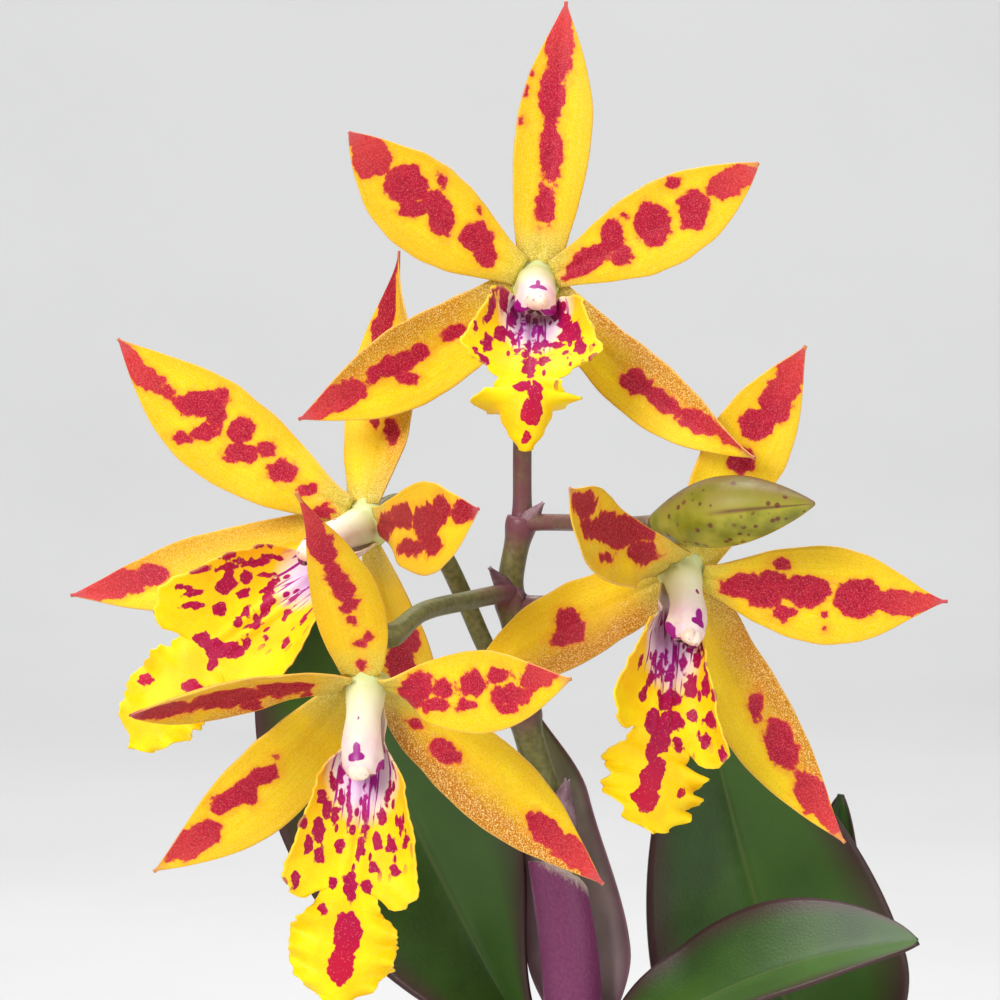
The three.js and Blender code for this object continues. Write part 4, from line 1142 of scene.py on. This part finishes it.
def petal_finish(name, group, marks, size, relief, **more):
    """A tepal's or lip's own material: the shared paint with the piece's own marks."""
    finish, place = new_finish(name, 0.2)
    flat, span = (add("UVMap", tree=place.id_data, uv_map=layer) for layer in ("flat", "span"))
    spots = scaled(flat.outputs[0], (100, 100, 0))
    if more.get("Spots", 0) is None:
        more["Spots"] = spots
    painted = placed(
        group, Place=place, Span=span.outputs[0], Inside=blotched(spots, marks, size), **more
    )
    colour, rough, height = (painted[socket] for socket in ("Colour", "Roughness", "Height"))
    surfaced(finish, colour, rough, None, relief, 0.2, height)
    return finish


def turned_about(v, axis, angle):
    turned = v * math.cos(angle) + np.cross(axis, v) * math.sin(angle)
    return turned + axis * axis.dot(v) * (1 - math.cos(angle))


for flower, bloom in BLOOMS.items():
    heart, out, up = bloom_axes(bloom)
    for part in TEPALS:
        node, sepal = flower + "_" + part, part.endswith("sepal")
        spec = {**(SEPAL_OUTLINE if sepal else PETAL_OUTLINE), **bloom[part]}
        tip = np.array(spec["tip"], float)
        root = heart + square_to(tip - heart, out) * TEPAL_ROOT
        root = root + out * (OUTER_WHORL if sepal else INNER_WHORL)
        at, facing, long = arch(root, tip, spec["bow"]), unit(spec["face"]), math.dist(tip, root)
        seed = sum(map(ord, node.replace("_", "", 1)))

        def weave(u, s):
            t = 1 - (1 - u) ** 1.3
            point, along = at(t)
            normal = square_to(out + (facing - out) * ease(t, 0, 0.3), along)
            normal = turned_about(normal, along, math.radians(spec.get("turn", 0)) * t * t)
            half = max(0.35, spec["width"] / 2 * width_share(spec, t))
            roll = spec["cup"] * ease(t, 0, 0.4) + 0.001
            side = float(np.sign(s))
            frayed = 1 + 0.04 * noise.noise(Vector((t * 9, 3 * side, seed)))
            wave = 0.45 * abs(s) ** 3 * noise.noise(Vector((t * 6, 5 * side, seed)))
            groove = -0.4 * math.exp(-((s * half / 0.9) ** 2)) * (1 - 0.8 * t)
            rise = half * (1 - math.cos(roll * s)) / roll + wave + groove
            across = np.cross(along, normal) * half * frayed * math.sin(roll * s) / roll
            thick = (0.95 - 0.5 * s * s) * (1 - 0.45 * t)
            flat = (t * long / 100, 0.5 + s * half / 100)
            return point + across + normal * rise, thick, (t, (s + 1) / 2), flat

        side, shade_share = SHADED_FLANKS.get(node, (0, 0.25))
        finish = petal_finish(
            node, tepal_paint, BLOTCHES[node], BLOTCH_SIZE, 0.35,
            Side=float(side), Tan=float(shade_share), Deep=0.8 if node in SHADED_TEPALS else 0.0,
        )
        blade(node + "_blade", 64, 26, weave, finish, node, "tepal")


# Lips. The sixth part of each bloom, waxy like the tepals but thinner and frilled: two side lobes
# roll up beside the column, and a narrow waist carries the wavy middle lobe.
LIP_HALF_WIDTH = [
    (0, 2.6), (0.12, 5), (0.28, 11.5), (0.42, 13.5), (0.52, 14.6), (0.565, 12.4), (0.595, 8),
    (0.62, 5.8), (0.66, 6.6), (0.74, 10.8), (0.86, 10.8), (0.94, 7.4), (1, 2.6),
]
LIP_ROLL = [(0, 0.4), (0.14, 1.35), (0.3, 1.2), (0.54, 0.6), (0.64, 0)]
WAIST, FRILL_WAVES, FRILL_HEIGHT = 0.61, 10, 1.8

# Marks of each lip, given as those of the tepals are.
LIP_MARKS = dict(
    top=[
        (18.5, 10.5, 4, 1.2, 5), (13, 8, 3, 1.6, -20), (13, 4.5, 4, 1.2, 5),
        (24, 12.5, 1, 0.6, -30), (25, 9, 2, 1.3, 5), (29, 9, 1.5, 1, -35), (27.5, 11, 0.9, 0.6, 15),
        (21, 6.5, 2.5, 1.4, 15), (19.5, 4.5, 2, 0.9, 30), (21, 3.3, 1.5, 0.7, 20),
        (24, 2.5, 1.4, 0.9, 25), (15, 2, 4.5, 0.6, 0), (13.5, -0.5, 5.5, 0.6, 0),
        (22, 0.5, 3, 0.7, 0), (22.5, -1.3, 2.5, 0.8, 0), (20, -2.8, 2, 0.9, -10),
        (21.5, -5, 2, 0.9, -60), (26, -3, 2, 1, 30), (12, -5.5, 2.5, 1.5, -35),
        (16.5, -7, 4.5, 1.4, -15), (20.5, -7.5, 2.5, 1.2, -45), (20.5, -9.5, 2, 1.1, -10),
        (24.5, -10, 2, 1.3, -20), (25, -13, 0.8, 0.5, 0), (28.5, -12.5, 1.4, 0.9, 15),
        (24.5, -7, 1.2, 0.8, -50), (28, 0, 3, 1.6, 0), (33, 1, 1.6, 1.2, -90),
        (34.5, -1.5, 2.6, 1.5, -5), (38, -1, 2.8, 2.1, -5), (42.5, 0, 1.6, 0.9, 0),
    ],
    left=[
        (40.5, 13.5, 0.9, 0.7, -60), (35, 13.5, 1, 0.6, 45), (35, 11.5, 1.5, 0.8, 40),
        (36.5, 9.5, 1.6, 0.8, 40), (31, 14.5, 1.6, 0.7, 40), (27, 14, 1.4, 0.8, 40),
        (26, 12, 1.2, 0.7, 30), (21, 13, 2, 0.7, 30), (18, 12, 1, 0.7, 25), (20, 10, 2.5, 0.7, 20),
        (23, 10, 3.5, 0.9, 20), (28, 12, 2.5, 0.7, 30), (30.5, 9, 2, 1.6, 35),
        (29, 10, 2, 0.9, -60), (26.5, 8.5, 1.6, 1.4, -40), (28.5, 6, 1.6, 0.9, 10),
        (34, 5.8, 1.6, 1.3, -55), (30.5, 2.5, 1.6, 0.9, -35), (33.5, 1.5, 1.2, 1, -40),
        (30, 0.5, 1, 0.7, -50), (22.5, 4.5, 3, 0.9, -20), (25.5, 2.5, 2.5, 1, -35),
        (27.5, 0.5, 2.2, 1, -35), (30.5, -0.8, 2.2, 1, -20), (40.5, 3, 1.9, 1.6, -60),
        (40, 0, 2.5, 2.2, 45), (37.5, -2.5, 2.4, 1.8, 40), (34.5, -2.8, 1.6, 1.1, -50),
        (42.5, -2, 1.7, 1.2, -5), (31, -4.5, 0.8, 0.5, -55), (53, 5.5, 1.6, 1.2, 75),
        (48.5, -2.5, 2.2, 1.4, 25), (17.5, 8.5, 1.6, 0.7, 35), (22, 6.5, 2, 0.6, 25),
        (25, -3, 1.8, 0.8, -25), (21, -1, 2.2, 0.8, -10), (24, -8, 1.6, 0.8, -30),
        (29, -9, 1.4, 0.8, -30),
    ],
    right=[
        (13, -5, 1.6, 0.9, -5), (16.5, -4, 2.2, 0.9, 0), (16, -7.5, 2, 1.3, -5),
        (14.5, -9.5, 1.5, 0.9, -10), (18.5, -11, 1.6, 1.2, -25), (21, -10, 1.8, 1.5, 85),
        (22.5, -12.5, 1.2, 0.9, 85), (25.5, -11, 2.2, 1.2, 75), (21, -6, 2.4, 1.5, 10),
        (24.5, -2, 2.6, 1.5, 45), (28.5, -3.3, 2.2, 1.5, 40), (34, 0, 3.2, 2.2, 25),
        (37.5, 2, 2.2, 1.5, 15), (40, 1, 3, 2, 25), (42, 2, 2.6, 2.4, 65), (45.5, 3, 3, 2.5, 60),
        (29, -9.5, 1.5, 1, 30), (26, -6.5, 1.5, 1, 50), (20, -1, 2.6, 0.8, 10), (23, 3.5, 2, 1, 20),
        (18, 3, 2, 0.8, 10), (27, 5, 1.6, 1, 30), (22, 8, 1.5, 1, 10), (29, -13, 1.1, 0.8, 40),
        (43, -5, 1.6, 0.9, 30), (26, -0.5, 3, 1.6, 30), (30, -1, 3, 1.8, 20), (33, -4, 2, 1.3, 0),
        (31, 2, 2.6, 1.6, 20), (17, 0, 3, 0.7, 0), (19, 1.5, 3, 0.6, 5),
    ],
    front=[
        (20, 2.5, 4.4, 0.6, -10), (22, -1, 5.8, 0.6, -10), (20, 9, 1.6, 1.3, -25),
        (25.5, 8, 2.6, 1.5, -15), (30, 7, 1.7, 1.2, -15), (24.5, 12, 1.6, 1, -50),
        (33, 11, 1.2, 1, -30), (33, 13.5, 1, 0.8, -45), (20, 4.2, 1.7, 0.7, -10),
        (28.5, 3, 1.7, 1.2, -10), (23, 5.2, 1.7, 0.9, -10), (26.5, -7, 1.7, 1.3, -10),
        (30.5, -8.5, 1.2, 1, 85), (31.5, -4, 1.4, 1.1, 85), (22, -4.5, 1.7, 1.1, -10),
        (26.5, -4, 1.6, 1, -10), (36, 0, 3.4, 1.4, -10), (35.5, -3.3, 1.8, 1.1, -10),
        (35.5, 3.3, 1.4, 1, -10), (41, 4.5, 1.2, 0.9, -10), (45, -0.8, 4.4, 2.8, -5),
        (48, -0.4, 3, 2.2, 0), (51, 0, 4.4, 2.6, 5), (17, 6.5, 2.2, 0.9, -15),
        (23, -9, 1.6, 0.9, -20), (15, 5, 2, 0.7, -10), (18, -5.5, 2.4, 0.8, 10),
        (25, -10.5, 1.4, 0.9, 10), (29, -1, 2.4, 0.9, 0), (22, 7, 2.2, 1.2, -10),
        (28, 9.5, 1.6, 1, -20),
    ],
)

lip_paint, taken, given = new_group(
    "lip paint", dict(Place=None, Span=None, Spots=None, Inside=-50.0),
    ["Colour", "Roughness", "Height"],
)
place, span, spots = taken["Place"], add("SeparateXYZ", taken["Span"]).outputs, taken["Spots"]


def patch(along, length, width, soft):
    """A soft oval patch on the lip's midline, in millimetres."""
    return between(blotched(spots, [(along, 0, length, width, 0)]), -soft, soft)


cells = placed(crystal, Place=place)
tone = mottled(place, 150.0, Detail=3.0)
lobed = noised(place, 700.0, 1.0)
edge = maths("ABSOLUTE", less(times(span["Y"], 2.0), 1.0))
distance = plus(taken["Inside"], swing(lobed, 1.7))
throat, lilac, disc = patch(11, 11, 8, 2.0), patch(13, 8, 4.5, 2.5), patch(21, 13, 13, 1.5)
shoulder = times(between(span["X"], 0.55, 0.2), between(edge, 0.1, 0.9))
sown = add("TexVoronoi", Vector=scaled(spots, (0.3, 0.62, 1)), Scale=1.0).outputs
chosen = between(add("SeparateColor", sown["Color"]).outputs[0], 0.5, 0.52)
freckle = times(between(sown["Distance"], 0.34, 0.28), times(chosen, disc))
rays = between(noised(scaled(spots, (0.09, 0.85, 1)), 1.0, 1.0), 0.55, 0.59)
mark = coats(
    mixed(lobed, (140, 0, 54), (182, 0, 72)),
    (lilac, 0.7, (160, 30, 160)),
    (between(span["X"], 0.62, 0.85), (188, 12, 52)),
)
colour = coats(
    mixed(tone, (252, 196, 0), (255, 220, 4)),
    (shoulder, 0.7, (240, 158, 4)),
    (throat, (250, 236, 228)),
    (lilac, 0.75, (214, 150, 222)),
    (freckle, mark),
    (times(rays, patch(15, 9, 8.5, 1.2)), (158, 14, 132)),
    (between(distance, -0.1, 0.1), mark),
    # Painted highlights: glints of light on the crystal cells, painted into the colour.
    (cells["Glint"], 0.25, (255, 232, 170)),
    (between(edge, 0.96, 1.0), 0.25, (255, 230, 110)),
)
feed(given["Colour"], colour)
feed(given["Roughness"], ranged(cells["Grain"], 0.4, 0.6))
feed(given["Height"], plus(cells["Grain"], lobed))

for flower, bloom in BLOOMS.items():
    heart, out, up = bloom_axes(bloom)
    spec = bloom["lip"]
    rows, tip, facing = 130, np.array(spec["tip"], float), unit(spec["face"])
    root = heart - up * TEPAL_ROOT + out * INNER_WHORL
    first = root + out * spec["reach"][0] - up * 4.5
    second = tip - unit(spec["hang"]) * spec["reach"][1]
    seed = sum(map(ord, flower))
    # The rows lie closer together along the frilled middle lobe.
    steps = [u / 0.45 * 0.54 if u < 0.45 else 0.54 + (u - 0.45) / 0.55 * 0.46
             for u in np.arange(rows + 1) / rows]
    line = np.array([
        (1 - t) ** 3 * root + 3 * t * (1 - t) ** 2 * first + 3 * t * t * (1 - t) * second
        + t**3 * tip for t in steps
    ])
    run = lengths(line)

    def weave(u, s):
        row = round(u * rows)
        t = steps[row]
        along = (1 - t) ** 2 * (first - root) + 2 * t * (1 - t) * (second - first)
        along = unit(along + t * t * (tip - second))
        normal = square_to(up + (facing - up) * ease(t, 0, 0.5), along)
        half = spec["size"] * profile(LIP_HALF_WIDTH, t)
        half *= 1 + (spec["middle"] - 1) * ease(t, 0.64, 0.74)
        tuck = spec["tuck"] * ease(t, 0.68, 0.82)
        roll = profile(LIP_ROLL, min(t, 0.64)) - tuck or 0.001
        if s < 0:
            roll += spec["fold"] * ease(t, 0.12, 0.26) * (1 - ease(t, 0.46, 0.6))
        out_here, side = abs(s), float(np.sign(s))
        edge = out_here**2.5 * min(1, max(0, (t - WAIST) * 12))
        frill = FRILL_HEIGHT * edge * math.sin(FRILL_WAVES * math.pi * 2 * t + s)
        ruffle = 0.6 * out_here**4 * noise.noise(Vector((t * 26, 4 * side, seed)))
        torn = noise.noise(Vector((t * 46, 7 * side, seed)))
        frayed = 1 + (0.05 + 0.12 * ease(t, 0.62, 0.7)) * out_here**4 * torn
        keels = 0.7 * math.exp(-(((out_here * half - 1.4) / 0.7) ** 2)) * ease(t, 0.1, 0.2)
        clasp = spec["clasp"] * math.exp(-(((t - 0.24) / 0.12) ** 2)) * s * s
        rise = half * (1 - math.cos(roll * s)) / roll + frill + ruffle + clasp
        rise += keels * (1 - ease(t, 0.5, 0.62))
        reach = half * frayed * math.sin(roll * s) / roll
        sag = spec["sag"] * ease(t, 0.32, 0.54) * (1 - ease(t, 0.58, 0.615)) * s * s
        slid = spec["skew"] * ease(t, 0.1, 0.5) * half * s + sag * spec["size"]
        point = line[row] + np.cross(along, normal) * reach + along * slid + normal * rise
        flat = (run[row] / 100, 0.5 + s * half / 100)
        return point, 0.8 - 0.45 * s * s, (t, (s + 1) / 2), flat

    node = flower + "_lip"
    finish = petal_finish(node, lip_paint, LIP_MARKS[flower], LIP_MARK_SIZE, 0.3, Spots=None)
    blade(node + "_frilled", rows, 56, weave, finish, node, "lip")


# Columns. The fused heart of each bloom, fleshy and cream, hollowed underneath for the stigma,
# with a blunt wing each side and a loose cap over the pollen at its end.
COLUMN_RADIUS, COLUMN_LENGTH, CAP_RADIUS = 3.4, 17, 2
COLUMN_SHAPE = [(0, 1.5), (0.14, 1.12), (0.4, 0.98), (0.72, 1.14), (0.9, 1.02), (1, 0.8)]
# Millimetres along the column and up its flank, half length, half width and turn.
COLUMN_SPOTS = [
    (15.4, 10.4, 1.5, 0.9, 0), (16.8, 9.4, 0.8, 1, 0), (17.8, 3.9, 1.9, 1.4, 0),
    (9.5, 10.2, 0.5, 0.4, 0),
]

column_cream, place = new_finish("column_flesh", 0.4)
layout, soft = laid_out(place, "around"), mottled(place, 350.0)
length = layout["X"]
spots = add("CombineXYZ", times(length, 100.0), times(layout["Y"], 10.0)).outputs[0]
inside = plus(blotched(spots, COLUMN_SPOTS, middle=0), swing(soft, 0.5))
flesh = coats(
    mixed(between(length, 0.01, 0.09), (206, 212, 140), (242, 236, 212)),
    (times(between(length, 0.09, 0.15), plus(times(soft, 0.5), 0.3)), (232, 182, 200)),
    (between(inside, -0.08, 0.08), (150, 8, 124)),
    # Dark brown under the end of the column: partly the stigma's own colour, partly painted shade
    # in the hollow under the cap.
    (times(between(layout["Y"], 0.34, 0.2), between(length, 0.12, 0.15)), (78, 40, 34)),
)
surfaced(column_cream, flesh, soft, (0.3, 0.45), 0.15, 0.3)

cap_peach, place = new_finish("anther_cap", 0.4)
soft = mottled(place, 700.0)
dots = between(add("TexVoronoi", Vector=place, Scale=520.0).outputs["Distance"], 0.2, 0.14)
warm = mixed(soft, (240, 208, 184), (246, 230, 212))
surfaced(cap_peach, coats(warm, (dots, 0.6, (190, 96, 128))), soft, (0.3, 0.45), 0.2, 0.2)

turns = turns_in(48)
from_below = np.minimum(turns, 2 * math.pi - turns)
under = np.exp(-((from_below / 0.7) ** 2))
wing = np.exp(-(((from_below - 1.2) / 0.35) ** 2))
crease = 0.16 * np.exp(-(((turns - math.pi) / 0.3) ** 2)) - 0.1 * np.abs(np.sin(turns))
for flower, bloom in BLOOMS.items():
    heart, out, up = bloom_axes(bloom)
    node, below = flower + "_column", tuple(-up)
    stops = [
        heart + out * reach - up * drop
        for reach, drop in ((-2, 0), (COLUMN_LENGTH / 2, -0.3), (COLUMN_LENGTH, 1))
    ]
    line = smooth_path(stops, 90)
    radii = []
    for i in range(91):
        t = i / 90
        flare = 0.3 * math.exp(-(((t - 0.88) / 0.12) ** 2))
        size = COLUMN_RADIUS * profile(COLUMN_SHAPE, t)
        radii.append(size * (1 - 0.72 * ease(t, 0.42, 0.6) * under + flare * wing))
    rings = tube(line, radii, 48, first=below)
    skin(node + "_flesh", rings, column_cream, node, "column", around(rings))
    tip = line[-1]
    hood = smooth_path([tip - out * 1.6 + up * 1.2, tip + up * 1.1, tip + out * 0.9], 24)
    radii = [
        CAP_RADIUS * math.sqrt(max(0.01, 1 - (i / 12.5 - 1) ** 2)) * (1 - crease)
        for i in range(25)
    ]
    skin(node + "_cap", tube(hood, radii, 48, first=below), cap_peach, node, "column")


# Floor, backdrop and lights. A pale matt sheet runs under the pot and sweeps up behind it, lit by
# large soft lamps from the front left, the right and above.
SHEET_FRONT, SHEET_BACK, BEND_RADIUS, SHEET_TOP, SHEET_HALF = -5000, 2000, 1300, 4500, 4000
sheet_matt, place = new_finish("pale_sheet", 0.1)
shader = sheet_matt.node_tree.nodes["Principled BSDF"].inputs
shader["Roughness"].default_value = 0.9
feed(shader["Base Color"], mixed(mottled(place, 3.0), (0.7, 0.7, 0.69, 1), (0.73, 0.73, 0.72, 1)))
sweep = [(SHEET_FRONT, 0), (SHEET_BACK, 0)]
for a in np.linspace(0.08, math.pi / 2, 20):
    sweep.append((SHEET_BACK + BEND_RADIUS * math.sin(a), BEND_RADIUS * (1 - math.cos(a))))
sweep.append((SHEET_BACK + BEND_RADIUS, SHEET_TOP))
mesh = bpy.data.meshes.new("backdrop")
points = [(x * MM, y * MM, z * MM) for x in (-SHEET_HALF, SHEET_HALF) for y, z in sweep]
count = len(sweep)
mesh.from_pydata(points, [], [(i, i + count, i + count + 1, i + 1) for i in range(count - 1)])
for face in mesh.polygons:
    face.use_smooth = True
mesh.materials.append(sheet_matt)
put("backdrop", mesh)

bpy.context.scene.view_settings.view_transform = "Standard"
BLOOM_HEIGHT = (0, -0.02, 0.3)
# Each lamp's place, what it is aimed at, its size and its power.
LAMPS = dict(
    key=((-0.9, -1.3, 1.2), BLOOM_HEIGHT, 0.8, 30),
    fill=((1.2, -1.0, 0.6), BLOOM_HEIGHT, 1.0, 9),
    top=((0.0, 0.3, 1.6), BLOOM_HEIGHT, 0.9, 16),
    backdrop=((0.0, 1.2, 2.8), (0, 3.3, 0.7), 2.0, 54),
)
for name, (spot, aimed_at, size, power) in LAMPS.items():
    lamp_data = bpy.data.lights.new(name, "AREA")
    lamp_data.size, lamp_data.energy = size, power
    lamp = put(name, lamp_data)
    lamp.location = spot
    aim = Vector(aimed_at) - Vector(spot)
    lamp.rotation_euler = aim.to_track_quat("-Z", "Y").to_euler()
world = bpy.data.worlds.new("soft_room")
world.use_nodes = True
air = world.node_tree.nodes["Background"].inputs
air["Color"].default_value, air["Strength"].default_value = (0.9, 0.93, 1, 1), 0.22
bpy.context.scene.world = world
